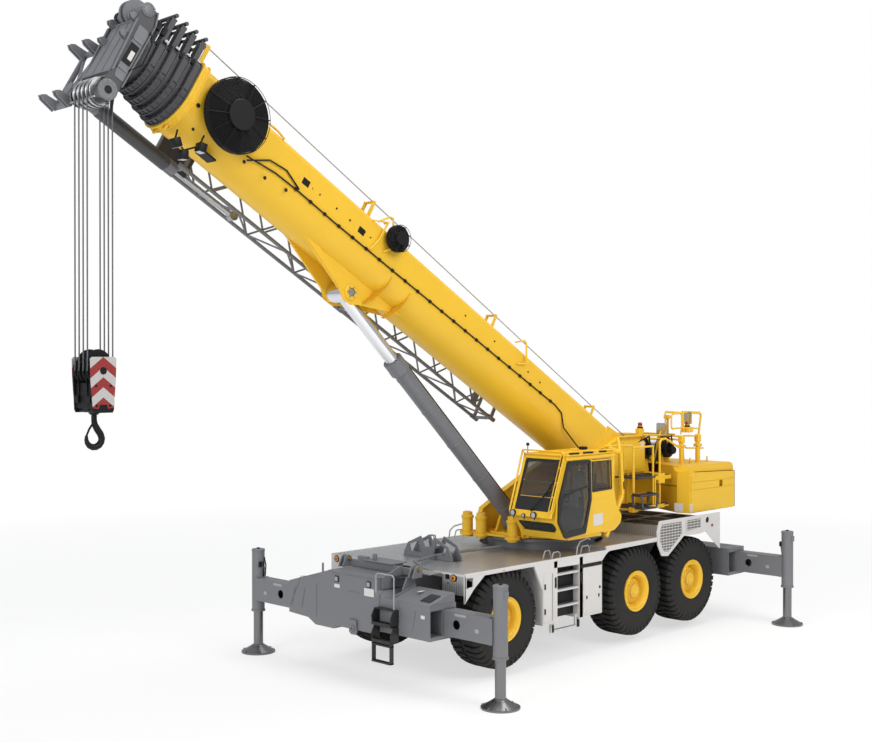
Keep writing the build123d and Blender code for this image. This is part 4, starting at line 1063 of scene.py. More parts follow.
# %% Boom side
hose = bmesh.new()
HOSE = [
    (10.93, 0.503, -0.62), (10.35, 0.505, -0.52), (9.85, 0.505, -0.5), (9.0, 0.505, -0.5),
    (2.6, 0.505, -0.36), (2.35, 0.505, -0.4), (2.15, 0.505, -0.62), (1.55, 0.505, -0.74),
]
rail(hose, HOSE, 0.013, 8)
rail(hose, [
    (10.9, 0.515, -0.68), (10.55, 0.52, -0.42), (10.2, 0.515, -0.36), (9.85, 0.512, -0.47),
], 0.013, 8)
for i in range(22):
    s = 9.9 - i * 0.34
    n = -0.5 + (9.0 - s) * 0.0219 if s < 9.0 else -0.5
    block(hose, about(s, 0.028), (0.4905, 0.522), about(n, 0.026), 0.005)
for s, n, r in (
    (10.92, -0.72, 0.03), (10.48, -0.7, 0.03), (10.05, -0.62, 0.03), (9.62, -0.28, 0.014),
    (9.45, -0.28, 0.014), (9.05, -0.27, 0.018), (8.72, -0.27, 0.018), (8.35, -0.26, 0.014),
    (8.2, -0.26, 0.014), (12.0, -0.5, 0.034), (11.9, -0.86, 0.026), (5.6, -0.18, 0.018),
    (4.7, -0.18, 0.018), (3.6, -0.2, 0.018), (3.2, -0.2, 0.018),
):
    rod(hose, (s, 0.4903, n), (s, 0.4965, n), r, 14)
for s in (9.78, 8.42):
    block(hose, about(s, 0.075), (0.4903, 0.4935), (-0.335, -0.225), 0)
piece(hose, "boom_hose_line", "boom", BLACK, BOOM)

shields = bmesh.new()
for s in (9.78, 8.42):
    plate(shields, [
        (s - 0.2, -0.36), (s + 0.17, -0.36), (s + 0.2, -0.33), (s + 0.2, -0.23), (s + 0.15, -0.19),
        (s - 0.14, -0.19), (s - 0.2, -0.24),
    ], "y", (0.4885, 0.4912))
    for ds in (-0.165, 0.165):
        rod(shields, (s + ds, 0.4912, -0.28), (s + ds, 0.499, -0.28), 0.014, 6)
rail(shields, [
    (8.12, 0.5, -0.44), (8.05, 0.53, -0.2), (8.02, 0.53, 0.16), (7.96, 0.36, 0.2),
], 0.018, 10)
rail(shields, [(8.3, 0.5, 0.02), (8.02, 0.53, 0.16)], 0.012, 8)
piece(shields, "boom_side_fittings", "boom", YELLOW, BOOM)

gussets = bmesh.new()
for ds, reach in ((-0.36, 0.1), (0.16, 0.08)):
    s = PS + ds - 0.55
    edge = []
    for i in range(9):
        t = i / 8
        edge.append((s + reach - 0.42 * t + 0.25 * t * t, 0.3 + 0.19 * t ** 0.6, -1.18 + 0.62 * t))
    for a, b in zip(edge, edge[1:]):
        inner_a = (a[0] + 0.02, max(0.236, a[1] - 0.26), a[2] + 0.02)
        inner_b = (b[0] + 0.02, max(0.236, b[1] - 0.26), b[2] + 0.02)
        quad = [gussets.verts.new(p) for p in (a, b, inner_b, inner_a)]
        gussets.faces.new(quad)
bmesh.ops.solidify(gussets, geom=list(gussets.faces), thickness=0.016)
bracket_side = [
    (PS - 1.1, -0.905), (PS - 0.24, PN - 0.1), (PS - 0.1, PN - 0.185), (PS + 0.1, PN - 0.185),
    (PS + 0.26, PN - 0.06), (PS + 1.35, -0.86), (PS + 1.2, -0.8), (PS + 0.55, -0.96),
    (PS - 0.55, -0.96),
]
plate(gussets, bracket_side, "y", (0.2325, 0.2445), 0.003)
lathe(gussets, [
    (0.071, 0.2445), (0.135, 0.2445), (0.135, 0.262), (0.12, 0.27), (0.071, 0.27),
], (PS, 0, PN), steps=36)
mirrored(gussets)
piece(gussets, "lift_bracket_gussets", "boom", YELLOW, BOOM)
pin_end = bmesh.new()
lathe(pin_end, [(0.0, 0.276), (0.052, 0.276), (0.06, 0.27), (0.06, 0.2446)], (PS, 0, PN), steps=28)
keeper = rod(pin_end, (PS, 0.27, PN + 0.092), (PS, 0.282, PN + 0.092), 0.013, 6)
copies(pin_end, keeper, turns(6, (PS, 0, PN)))
mirrored(pin_end)
piece(pin_end, "lift_pin_ends", "boom", STEEL, BOOM)

# %% [markdown]
# Three square work lamps hang on a bent rail under the boom's mouth. Each is a cube with rounded
# edges and a thin pane on its face, turned a little differently from the next.

# %% Boom lamps
lamps = bmesh.new()
lenses = bmesh.new()
for s, y, n, tip in ((12.02, 0.42, -1.16, 20), (11.8, 0.36, -1.21, 0), (11.66, 0.5, -1.0, -15)):
    turn = Matrix.Translation((s, y, n)) @ Matrix.Rotation(math.radians(BOOM_ANGLE + tip), 4, "Y")
    body = block(lamps, (-0.06, 0.06), (-0.075, 0.075), (-0.085, 0.055), 0.014, 2)
    bmesh.ops.transform(lamps, matrix=turn, verts=body)
    glass = block(lenses, (-0.048, 0.048), (-0.06, 0.06), (-0.0905, -0.084), 0.002)
    bmesh.ops.transform(lenses, matrix=turn, verts=glass)
rail(lamps, [
    (12.02, 0.3, -0.93), (12.02, 0.36, -1.08), (11.8, 0.33, -1.14), (11.68, 0.46, -1.0),
    (11.68, 0.455, -0.8),
], 0.014)
block(lamps, (11.3, 11.56), (0.2, 0.42), (-0.99, -0.955), 0.006)
piece(lamps, "boom_work_lamps", "boom", BLACK, BOOM)
piece(
    lenses, "boom_lamp_lenses", "boom", dark_glass("lamp_lens", (0.45, 0.46, 0.47), 1.0),
    BOOM,
)

# %% [markdown]
# The cab is a narrow one with a sliding glass door. Its glazing is bonded behind charcoal
# borders; the windscreen leans back under a slotted guard, and its wiper and three work lamps sit
# on the sill above the small lower window. A border is one outline whose corners are rounded,
# inset, and emptied in the middle, so that it has the same width all round.

# %% Door
CAB_OUT, DOOR_OUT = 1.655, 1.696
CHARCOAL = paint("charcoal_trim", (0.019, 0.019, 0.02), 0.4, 0.08, 0.03, 0.1, Specular_IOR_Level=0.35)
DOOR = [
    (1.255, 3.6), (0.6, 3.6), (0.57, 2.86), (0.745, 2.262), (1.34, 2.215), (1.535, 2.525),
    (1.51, 2.925),
]
door = bmesh.new()
panel(door, DOOR, "y", (1.662, DOOR_OUT), corner=0.035, rim=0.062, edge=0.004)
kick = [
    (0.65, 2.58), (0.745, 2.262), (1.34, 2.215), (1.535, 2.525), (1.525, 2.66), (1.44, 2.42),
    (1.3, 2.335), (0.84, 2.365),
]
panel(door, kick, "y", (1.684, 1.693), corner=0.012)
band = [
    (1.515, 2.78), (1.518, 2.86), (1.36, 2.985), (1.1, 3.075), (0.6, 3.15), (0.6, 3.105),
    (1.08, 3.035), (1.33, 2.945),
]
panel(door, band, "y", (1.684, 1.692), corner=0.01)
panel(door, rect((1.47, 1.4), (2.98, 2.74)), "y", (1.69, 1.704), corner=0.03, edge=0.003)
piece(door, "door_frame", "cab_door", CHARCOAL, replaces=("cab_door",))
rails = bmesh.new()
rail(rails, in_plane(1.6, (0.66, 2.7), (0.66, 3.02), (0.7, 3.1), (0.78, 3.12)), 0.014)
piece(rails, "door_inner_rail", "turntable", YELLOW)

# %% [markdown]
# Round the fixed windows runs the same charcoal border, and the windscreen has a deep rubber
# gasket, which follows the slope of the cab's front. Borders of panes that lean are drawn upright
# and then turned, which keeps their outlines simple.

# %% Window borders
lean = math.atan2(1.55 - 1.275, 3.69 - 2.93)
FRONT = Matrix.Translation((1.55, 0, 2.93)) @ Matrix.Rotation(-lean, 4, "Y")
borders = bmesh.new()
panel(
    borders, [(0.53, 3.6), (-0.07, 3.6), (-0.1, 3.01), (0.51, 2.99)], "y",
    (CAB_OUT, CAB_OUT + 0.006), 0.03, rim=0.036,
)
panel(borders, [
    (1.245, 3.575), (-0.075, 3.595), (-0.105, 2.885), (1.455, 2.885),
], "y", (0.684, 0.69), 0.03, rim=0.04)
rear_lean = Matrix.Translation((-0.155, 0, 3.044)) @ Matrix.Rotation(math.atan2(0.035, 0.661), 4, "Y")
part = bmesh.new()
panel(part, rect((0.775, 1.57), (0.01, 0.54)), "x", (-0.006, 0.002), 0.05, rim=0.04)
join(borders, part, rear_lean)
part = bmesh.new()
panel(
    part, [(0.745, -0.235), (1.605, -0.245), (1.605, 0.735), (0.745, 0.735)], "x", (0.004, 0.014), 0.05,
    rim=0.05, edge=0.003,
)
panel(part, [(0.775, -0.2), (1.58, -0.21), (1.58, 0.02), (0.775, 0.02)], "x", (0.002, 0.01), 0.02)
join(borders, part, FRONT)
low_lean = Matrix.Translation((1.35, 0, 2.19)) @ Matrix.Rotation(math.atan2(0.225, 0.33), 4, "Y")
part = bmesh.new()
panel(part, [
    (0.755, 0.375), (0.83, 0.19), (1.53, 0.17), (1.615, 0.24), (1.585, 0.38),
], "x", (-0.004, 0.01), 0.05, edge=0.003)
join(borders, part, low_lean)
piece(borders, "window_borders", "turntable", CHARCOAL)
low_pane = bmesh.new()
panel(low_pane, [
    (0.8, 0.35), (0.865, 0.215), (1.51, 0.195), (1.575, 0.255), (1.55, 0.355),
], "x", (0.01, 0.013), 0.04)
bmesh.ops.transform(low_pane, matrix=low_lean, verts=low_pane.verts)
piece(low_pane, "lower_front_pane", "turntable", GLASS)

# %% [markdown]
# Yellow steelwork on the cab: a roof cap with its gutter, a front frame that stands proud round
# the windscreen, the slotted guard rails beside it, and the rail over the roof. Each is made as
# the maker would: cut sheet with rounded corners, flat bar, or bent tube.

# %% Cab steelwork
GUARD_RUN, GUARD_DROP = 0.385, 1.025
cab = bmesh.new()
block(cab, (0.545, 0.58), (1.648, 1.66), (2.62, 3.56), 0.003)
panel(cab, rect((1.3, -0.13), (0.66, 1.68)), "z", (3.69, 3.716), 0.07, edge=0.006)
panel(cab, rect((1.08, 0.16), (0.82, 1.5)), "z", (3.716, 3.742), 0.05, rim=0.06, edge=0.004)
beam(cab, (1.285, 1.668, 3.64), (-0.13, 1.668, 3.655), 0.028, 0.055)
part = bmesh.new()
for y in ((0.69, 0.745), (1.605, 1.655)):
    block(part, (0.002, 0.03), y, (-0.3, 0.76), 0.006)
block(part, (0.002, 0.03), (0.69, 1.655), (0.735, 0.775), 0.006)
block(part, (0.002, 0.05), (0.69, 1.655), (-0.365, -0.245), 0.01)
join(cab, part, FRONT)
for y in (1.6, 1.655):
    beam(cab, (1.32, y, 3.745), (1.705, y, 2.72), 0.014, 0.03)
for i in range(5):
    t = i / 4
    x, z = 1.32 + GUARD_RUN * t, 3.745 - GUARD_DROP * t
    beam(cab, (x, 1.6, z), (x, 1.655, z), 0.05, 0.012)
for z, x in ((2.74, 1.7), (3.1, 1.565), (3.66, 1.35)):
    beam(cab, (x - 0.1, 1.628, z - 0.02), (x, 1.628, z), 0.03, 0.014)
rail(cab, [
    (1.28, 0.655, 3.72), (1.3, 0.64, 3.745), (1.66, 0.64, 2.68), (1.64, 0.65, 2.6),
    (1.57, 0.68, 2.6),
], 0.018)
beam(cab, (1.25, 0.665, 3.72), (1.56, 0.665, 2.66), 0.01, 0.05)
rail(cab, [
    (1.3, 0.64, 3.745), (1.33, 0.68, 3.775), (1.33, 1.6, 3.775), (1.32, 1.64, 3.745),
    (1.1, 1.65, 3.765), (-0.1, 1.65, 3.752), (-0.13, 1.65, 3.7),
], 0.015)
for x in (1.05, 0.62, 0.2):
    rod(cab, (x, 1.65, 3.7), (x, 1.65, 3.762), 0.011)
block(cab, (-0.135, -0.02), (0.7, 1.64), (3.66, 3.735), 0.008)
piece(cab, "cab_steelwork", "turntable", YELLOW)
slots = bmesh.new()
for t0, t1 in ((0.05, 0.22), (0.3, 0.47), (0.55, 0.72), (0.8, 0.95)):
    a, b = [(1.322 + GUARD_RUN * t, 1.628, 3.741 - GUARD_DROP * t) for t in (t0, t1)]
    beam(slots, a, b, 0.03, 0.006, 0)
for x0, x1 in ((1.2, 0.92), (0.8, 0.5), (0.32, 0.1)):
    beam(slots, (x0, 1.672, 3.735), (x1, 1.672, 3.732), 0.012, 0.028, 0)
piece(slots, "cab_rail_slots", "turntable", BLACK)

# %% [markdown]
# Small fittings of the cab: the wiper on its arm, the grab bars behind the glass, the work lamps,
# a thin mast with its lamp, and a small box on the roof. Lamps are spun bowls with a shallow spun
# lens, so that they catch the light in rings.

# %% Cab fittings
fit = bmesh.new()
part = bmesh.new()
rod(part, (0.03, 1.19, -0.235), (0.06, 1.19, -0.235), 0.03, 16)
beam(part, (0.052, 1.19, -0.235), (0.034, 1.5, 0.215), 0.016, 0.01)
beam(part, (0.024, 1.36, 0.02), (0.024, 1.56, 0.4), 0.01, 0.022)
join(fit, part, FRONT)
LAMP_X = 1.735
LAMPS = ((0.78, 2.65, 0.062), (1.27, 2.64, 0.062), (1.03, 2.615, 0.038))
for y, z, r in LAMPS:
    lathe(fit, [
        (0, -0.075), (r * 0.55, -0.07), (r, -0.02), (r, 0.012), (r * 0.9, 0.016), (r * 0.9, 0.0),
        (0, 0.0),
    ], (LAMP_X, y, z), (1, 0, 0), 24)
    rod(fit, (LAMP_X - 0.03, y, z - r - 0.035), (LAMP_X - 0.03, y, z - r + 0.01), 0.01)
rod(fit, (1.26, 0.735, 3.71), (1.26, 0.735, 3.85), 0.008)
lathe(fit, [
    (0, 0), (0.03, 0), (0.03, 0.04), (0.018, 0.052), (0, 0.056),
], (1.26, 0.735, 3.85), (0, 0, 1), 16)
block(fit, (0.1, 0.22), (1.1, 1.24), (3.742, 3.8), 0.015)
piece(fit, "cab_fittings", "turntable", BLACK)
lenses = bmesh.new()
for y, z, r in LAMPS:
    lathe(lenses, [
        (0, 0.014), (r * 0.6, 0.011), (r * 0.88, 0.003), (r * 0.88, -0.004),
    ], (LAMP_X, y, z), (1, 0, 0), 24)
piece(
    lenses, "cab_lamp_lenses", "turntable", dark_glass("clear_lens", (0.42, 0.43, 0.44), 1.0),
)
bar = bmesh.new()
rail(bar, [(1.445, 0.8, 3.24), (1.405, 0.8, 3.215), (1.405, 1.56, 3.215), (1.445, 1.56, 3.24)], 0.013)
rail(bar, [
    (1.06, 1.07, 2.78), (1.06, 1.07, 3.04), (1.06, 1.15, 3.09), (1.06, 1.27, 3.09), (1.06, 1.35, 3.04),
    (1.06, 1.35, 2.8),
], 0.012)
piece(bar, "cab_grab_bar", "turntable", LIGHT_GREY)
blank = bmesh.new()
panel(blank, [
    (0.475, 2.575), (0.192, 2.59), (0.187, 2.375), (0.468, 2.36),
], "y", (CAB_OUT, CAB_OUT + 0.004), 0.01)
piece(blank, "cab_blank_plate", "turntable", WHITE)

# %% [markdown]
# Inside, seen through the tinted glass: a sprung seat with bolsters and a head rest, two lever
# consoles and a screen. They stand on the CAD seat, which stays beneath them. Cubes with wide,
# stepped bevels read as padding behind dark glass, so no cloth is simulated.

# %% Seat and consoles
seat = bmesh.new()
block(seat, (0.19, 0.68), (1.02, 1.42), (2.69, 2.79), 0.035, 3)
for y in ((1.005, 1.075), (1.365, 1.435)):
    block(seat, (0.22, 0.66), y, (2.72, 2.825), 0.025, 2)
part = bmesh.new()
block(part, (-0.05, 0.06), (1.01, 1.43), (0.0, 0.6), 0.04, 3)
block(part, (-0.02, 0.06), (1.1, 1.34), (0.62, 0.8), 0.035, 3)
for y in (1.16, 1.28):
    rod(part, (0.02, y, 0.55), (0.02, y, 0.68), 0.009)
join(seat, part, Matrix.Translation((0.265, 0, 2.74)) @ Matrix.Rotation(-0.2, 4, "Y"))
piece(seat, "seat_cushions", "turntable", LIGHT_GREY)
levers = bmesh.new()
for y in (0.945, 1.495):
    block(levers, (0.36, 0.66), about(y, 0.045), (2.84, 2.9), 0.015, 2)
    rod(levers, (0.6, y, 2.88), (0.62, y, 3.0), 0.01)
    lathe(levers, [
        (0, 0), (0.02, 0.005), (0.028, 0.05), (0.022, 0.085), (0, 0.095),
    ], (0.62, y, 2.99), (0.16, 0, 0.98), 12)
block(levers, (1.02, 1.09), (1.02, 1.4), (2.78, 2.99), 0.015)
rod(levers, (1.12, 1.22, 2.7), (1.02, 1.22, 2.86), 0.02)
part = bmesh.new()
lathe(
    part,
    [(0.19 + 0.014 * math.cos(i * math.pi / 4), 0.014 * math.sin(i * math.pi / 4)) for i in range(8)],
    (0, 0, 0), (0, 0, 1), 32, closed=True,
)
for a in (0.5, 2.6, 4.7):
    rod(part, (0, 0, -0.02), (0.185 * math.cos(a), 0.185 * math.sin(a), 0), 0.01)
join(levers, part, Matrix.Translation((0.92, 1.22, 2.92)) @ Matrix.Rotation(-0.7, 4, "Y"))
piece(levers, "cab_controls", "turntable", BLACK)

# %% [markdown]
# Behind the cab: the sloping tube that guards its rear corner, the tilt cylinder between the cab
# and the boom's side plate, and the rounded foot below. They are boxes and bars between two
# points, with wide bevels where the real ones are rolled.

# %% Behind the cab
back = bmesh.new()
for a, b in (
    ((0.02, 1.6, 2.12), (-0.49, 1.6, 2.86)), ((-0.49, 1.6, 2.86), (-0.43, 1.6, 3.68)),
    ((-0.43, 1.6, 3.68), (-0.3, 1.42, 3.76)),
):
    beam(back, a, b, 0.075, 0.075, 0.01)
rail(back, [(-0.44, 1.58, 3.66), (-0.6, 1.45, 3.8), (-0.76, 1.3, 3.92)], 0.03, 12)
rod(back, (-0.92, 1.02, 3.46), (-0.52, 1.3, 3.13), 0.075, 20)
rod(back, (-0.52, 1.3, 3.13), (-0.3, 1.44, 2.95), 0.04, 16)
rod(back, (-1.06, 0.94, 3.56), (-0.92, 1.02, 3.46), 0.055, 16)
beam(back, (-1.1, 0.56, 3.58), (-1.06, 0.98, 3.56), 0.1, 0.06)
panel(back, [
    (0.15, 2.2), (-0.2, 2.22), (-0.4, 2.34), (-0.44, 2.5), (-0.28, 2.66), (-0.15, 2.66),
], "y", (1.1, 1.64), 0.05, edge=0.012)
piece(back, "cab_rear_guard", "turntable", YELLOW)
dark = bmesh.new()
beam(dark, (-0.5, 1.64, 2.98), (-0.485, 1.64, 3.12), 0.006, 0.03, 0)
block(dark, (-0.16, -0.146), (0.82, 1.5), (2.62, 2.95), 0.003)
piece(dark, "cab_rear_vent", "turntable", BLACK)

# %% [markdown]
# Superstructure. Flanges stiffen the side plates along their sloping top edges, round bosses
# carry the boom's foot pin, and motors stand at the winch ends. Rope is wound on each drum. The
# wound rope is one spun outline with a ridge for each wrap, which is much lighter than a helix
# and looks the same.

# %% Side plates and winches
frame_work = bmesh.new()
for y in (0.54, -0.54):
    beam(frame_work, (0.66, y, 2.815), (-1.76, y, 3.868), 0.15, 0.022)
    beam(frame_work, (-1.74, y, 3.871), (-2.56, y, 3.871), 0.15, 0.022)
    beam(frame_work, (-2.55, y, 3.862), (-2.68, y, 3.7), 0.11, 0.018)
    beam(frame_work, (1.245, y, 2.335), (1.15, y, 2.57), 0.11, 0.018)
    beam(frame_work, (1.15, y, 2.575), (0.69, y, 2.8), 0.13, 0.02)
for side in (1, -1):
    y = side * 0.56
    lathe(frame_work, [
        (0.175, 0), (0.175, 0.03), (0.15, 0.045), (0.105, 0.045), (0.092, 0.038),
    ], (PIVOT_X, y, PIVOT_Z), (0, side, 0), 36)
    for x, z in ((-0.75, 3.2), (-1.3, 3.1), (-1.62, 3.3), (-1.95, 3.2)):
        lathe(frame_work, [
            (0.06, 0), (0.06, 0.014), (0.045, 0.02), (0.028, 0.02), (0.028, 0.004),
        ], (x, y, z), (0, side, 0), 20)
    for a, b in (
        ((-1.35, 2.44), (-1.1, 3.52)), ((-2.0, 2.44), (-2.05, 3.38)), ((-0.35, 2.12), (-0.2, 3.16)),
        ((-3.2, 2.44), (-3.2, 2.95)),
    ):
        beam(frame_work, (a[0], y + side * 0.035, a[1]), (b[0], y + side * 0.035, b[1]), 0.07, 0.018)
    beam(frame_work, (1.1, y + side * 0.03, 2.13), (-1.05, y + side * 0.03, 2.13), 0.06, 0.06)
for y in (-0.76, -0.4, 0.4):
    lathe(frame_work, [
        (0.108, 2.38), (0.122, 2.39), (0.122, 2.43), (0.095, 2.45), (0.095, 2.5), (0.06, 2.515),
        (0, 2.515),
    ], (1.3, y, 0), (0, 0, 1), 28)
    bolt = rod(frame_work, (1.3 + 0.132, y, 2.128), (1.3 + 0.132, y, 2.15), 0.012, 6)
    copies(frame_work, bolt, turns(8, (1.3, y, 0), "Z"))
bolt = rod(frame_work, (1.12, 0, 2.158), (1.12, 0, 2.18), 0.016, 6)
copies(frame_work, bolt, turns(36, (0, 0, 0), "Z"))
block(frame_work, (-2.66, -1.78), (0.565, 0.6), (3.12, 3.8), 0.01)
panel(frame_work, [
    (-1.9, 3.78), (-2.6, 3.78), (-2.6, 3.3), (-2.45, 3.18), (-1.9, 3.18),
], "y", (0.6, 0.615), 0.04, edge=0.004)
piece(frame_work, "superstructure_plates", "turntable", YELLOW)
WINCHES = ((-2.835, 3.54), (-3.65, 3.52))
WRAPS, ROPE_PITCH = 32, 0.0222
motors_and_grating_shade = bmesh.new()
for x, z in WINCHES:
    lathe(motors_and_grating_shade, [
        (0, 0.23), (0.07, 0.23), (0.085, 0.21), (0.085, 0.12), (0.15, 0.11), (0.165, 0.09),
        (0.165, 0.0),
    ], (x, 0.432, z), (0, 1, 0), 28)
    lathe(motors_and_grating_shade, [(0, 0.12), (0.1, 0.12), (0.13, 0.09), (0.13, 0.0)], (x, -0.432, z), (0, -1, 0), 28)
    block(motors_and_grating_shade, about(x, 0.05), (0.5, 0.62), (z + 0.07, z + 0.16), 0.012)
    for bends in (
        [(0.03, 0.58, 0.15), (0.12, 0.6, 0.26), (0.42, 0.58, 0.16), (0.6, 0.56, -0.3)],
        [(-0.03, 0.58, 0.15), (0.06, 0.62, 0.31), (0.46, 0.6, 0.2), (0.64, 0.58, -0.34)],
    ):
        rail(motors_and_grating_shade, [(x + dx, y, z + dz) for dx, y, dz in bends], 0.016)
for n, y in enumerate((0.2, 0.26, 0.32, -0.2, -0.26)):
    rail(
        motors_and_grating_shade, in_plane(y, (-1.55, 2.5), (-1.75, 2.62), (-2.0, 3.05 + 0.02 * n), (-2.02, 3.2)),
        0.02,
    )
# The black slab here lies in the plane of the lower walkway grating: it is painted shade under the walkway,
# seen between the bars.
block(motors_and_grating_shade, (-2.45, -1.68), (0.62, 1.02), (2.471, 2.5), 0.006)
piece(motors_and_grating_shade, "winch_motors_hoses_and_grating_shade", "turntable", BLACK)
for name, (x, z) in zip(("main", "aux"), WINCHES):
    wound = bmesh.new()
    ridges = []
    for i in range(WRAPS):
        y = -0.345 + ROPE_PITCH * i
        ridges += [(0.236, y - 0.0105), (0.246, y - 0.005), (0.246, y + 0.005)]
    lathe(wound, [(0.205, -0.35)] + ridges + [(0.205, 0.35)], (x, 0, z), steps=40, closed=True)
    piece(wound, f"{name}_winch_rope", f"{name}_winch", STEEL, crisp=60)

# %% [markdown]
# Walkways of open grating, the hanging step, and all the handrails, hoops and posts that stand
# over the winches and the counterweight, with their mirrors and beacons. The grating is made of
# real bars, because the ground shows between them; a picture of bars would not let it.

# %% Walkways and rails
grating = bmesh.new()


def grate(bm, x, y, z, bars, crossbars):
    """Open grating: upright bars one way, cross bars the other."""
    for i in range(bars):
        at = x[0] + (x[1] - x[0]) * i / (bars - 1)
        block(bm, about(at, 0.003), y, (z, z + 0.03), 0)
    for i in range(crossbars):
        at = y[0] + (y[1] - y[0]) * i / (crossbars - 1)
        block(bm, x, about(at, 0.004), (z + 0.012, z + 0.034), 0)


grate(grating, (-2.82, -1.66), (0.57, 1.12), 3.051, 40, 6)
# Most of this lower grating lies over a black slab of painted shade, made with the winch motors.
grate(grating, (-2.74, -1.52), (0.57, 1.12), 2.471, 42, 6)
for z, x0, x1 in ((2.76, -2.05, -1.45), (2.5, -1.98, -1.52)):
    grate(grating, (x0, x1), (1.14, 1.36), z - 0.03, 18, 4)
for a, b in (((-1.45, 2.76), (-1.52, 2.5)), ((-2.05, 2.76), (-1.98, 2.5))):
    for y in (1.36, 1.14):
        beam(grating, (a[0], y, a[1]), (b[0], y, b[1]), 0.014, 0.06)
for x in (-1.5, -2.0):
    beam(grating, (x, 1.12, 2.78), (x, 1.36, 2.76), 0.03, 0.02)
    beam(grating, (x, 1.13, 2.46), (x, 1.13, 2.78), 0.03, 0.02)
piece(grating, "walkway_gratings", "turntable", DARK)
rails = bmesh.new()
rail(rails, [
    (-0.86, 0.6, 3.62), (-0.9, 0.95, 3.74), (-0.98, 1.09, 3.755), (-1.5, 1.09, 3.735),
    (-1.57, 1.09, 3.67), (-1.585, 1.09, 2.46),
], 0.023, 10)
rail(
    rails,
    in_plane(
        1.09, (-2.475, 2.46), (-2.475, 3.74), (-2.53, 3.81), (-2.69, 3.825), (-3.255, 3.59),
        (-3.28, 3.27),
    ),
    0.023, 10,
)
block(rails, (-1.66, -1.48), (1.03, 1.15), (2.4, 2.5), 0.008)
block(rails, (-2.6, -2.38), (1.0, 1.14), (2.92, 3.12), 0.008)
beam(rails, (-2.6, 1.12, 2.46), (-1.5, 1.12, 2.46), 0.012, 0.08)
beam(rails, (-2.84, 1.12, 3.04), (-2.28, 1.12, 3.04), 0.012, 0.08)
rail(
    rails,
    in_plane(
        1.0, (-3.06, 4.01), (-3.03, 4.05), (-3.03, 4.28), (-3.07, 4.32), (-3.37, 4.325), (-3.41, 4.29),
        (-3.42, 4.02), (-3.06, 4.01),
    ),
    0.018,
)
rail(
    rails,
    in_plane(
        1.0, (-3.49, 3.93), (-3.44, 4.28), (-3.47, 4.35), (-4.1, 4.305), (-4.14, 4.26), (-4.05, 3.84),
    ),
    0.022,
)
rail(
    rails,
    in_plane(
        0.55, (-3.5, 3.93), (-3.45, 4.28), (-3.48, 4.35), (-4.1, 4.305), (-4.14, 4.26), (-4.05, 3.84),
    ),
    0.016,
)
for x in (-3.47, -4.1):
    rod(rails, (x, 0.55, 4.33), (x, 1.0, 4.33), 0.016, 8)
for a, b in (
    ((-3.46, 3.848), (-4.06, 3.824)), ((-3.58, 3.585), (-4.23, 3.555)), ((-3.42, 4.02), (-4.06, 3.98)),
):
    rod(rails, (a[0], 1.0, a[1]), (b[0], 1.0, b[1]), 0.018, 8)
for x, top in ((-3.405, 3.74), (-4.02, 3.81)):
    rod(rails, (x, 1.0, 3.24), (x, 1.0, top), 0.052, 16)
    lathe(rails, [(0.085, 3.24), (0.085, 3.262), (0.054, 3.27)], (x, 1.0, 0), (0, 0, 1), 20)
    block(rails, about(x, 0.075), (0.93, 1.07), (3.6, 3.66), 0.012)
    block(rails, about(x, 0.06), (0.94, 1.06), (3.7, 3.86), 0.02)
rail(rails, in_plane(0.5, (-2.69, 3.87), (-3.63, 3.83), (-4.2, 3.78)), 0.022)
rail(rails, in_plane(0.5, (-2.62, 3.8), (-3.63, 3.76), (-4.2, 3.7), (-4.24, 3.25)), 0.022)
rail(rails, in_plane(-0.5, (-2.69, 3.87), (-3.63, 3.83), (-4.2, 3.78), (-4.24, 3.25)), 0.022)
for x in (-2.75, -3.3, -3.9):
    rod(rails, (x, -0.5, 3.84), (x, 0.5, 3.84), 0.02, 8)
rod(rails, (-3.63, 0.5, 3.3), (-3.63, 0.5, 4.22), 0.026, 12)
block(rails, (-3.72, -3.56), (0.46, 0.54), (4.2, 4.25), 0.01)
lathe(rails, [
    (0.045, 4.18), (0.07, 4.2), (0.07, 4.26), (0.03, 4.27), (0, 4.27),
], (-3.6, 0.5, 0), (0, 0, 1), 16)
block(rails, (-2.69, -2.53), (0.44, 0.56), (3.87, 4.02), 0.012)
beam(rails, (-3.3, 0.5, 3.8), (-3.39, 0.5, 3.93), 0.03, 0.03)
for a, b in (((-3.05, 3.3), (-2.95, 3.85)), ((-3.35, 3.85), (-3.2, 3.3))):
    beam(rails, (a[0], 0.47, a[1]), (b[0], 0.47, b[1]), 0.06, 0.02)
block(rails, (-3.7, -3.54), (0.9, 1.1), (3.915, 4.03), 0.01)
piece(rails, "upper_rails_and_posts", "turntable", YELLOW)
MIRRORS = ((-3.39, 0.5, 3.97), (-3.6, 1.0, 4.23))
lights_black, lights_red, lights_amber = bmesh.new(), bmesh.new(), bmesh.new()
for x, y, z in ((-2.62, 0.5, 4.02), (-3.62, 1.0, 4.03)):
    lathe(lights_black, [(0, 0), (0.06, 0), (0.06, 0.03), (0.045, 0.036)], (x, y, z), (0, 0, 1), 20)
    lathe(lights_amber, [(0.046, 0.03), (0.046, 0.052), (0.044, 0.054)], (x, y, z), (0, 0, 1), 20)
    lathe(lights_red, [
        (0.046, 0.052), (0.046, 0.1), (0.03, 0.122), (0, 0.126),
    ], (x, y, z), (0, 0, 1), 20)
for x, y, z in MIRRORS:
    block(lights_black, (x - 0.018, x - 0.004), about(y, 0.12), about(z, 0.13), 0.02)
piece(lights_black, "beacon_bases_and_mirror_backs", "turntable", BLACK)
piece(lights_red, "beacon_tops", "turntable", RED)
piece(lights_amber, "beacon_bands", "turntable", AMBER)
mirrors = bmesh.new()
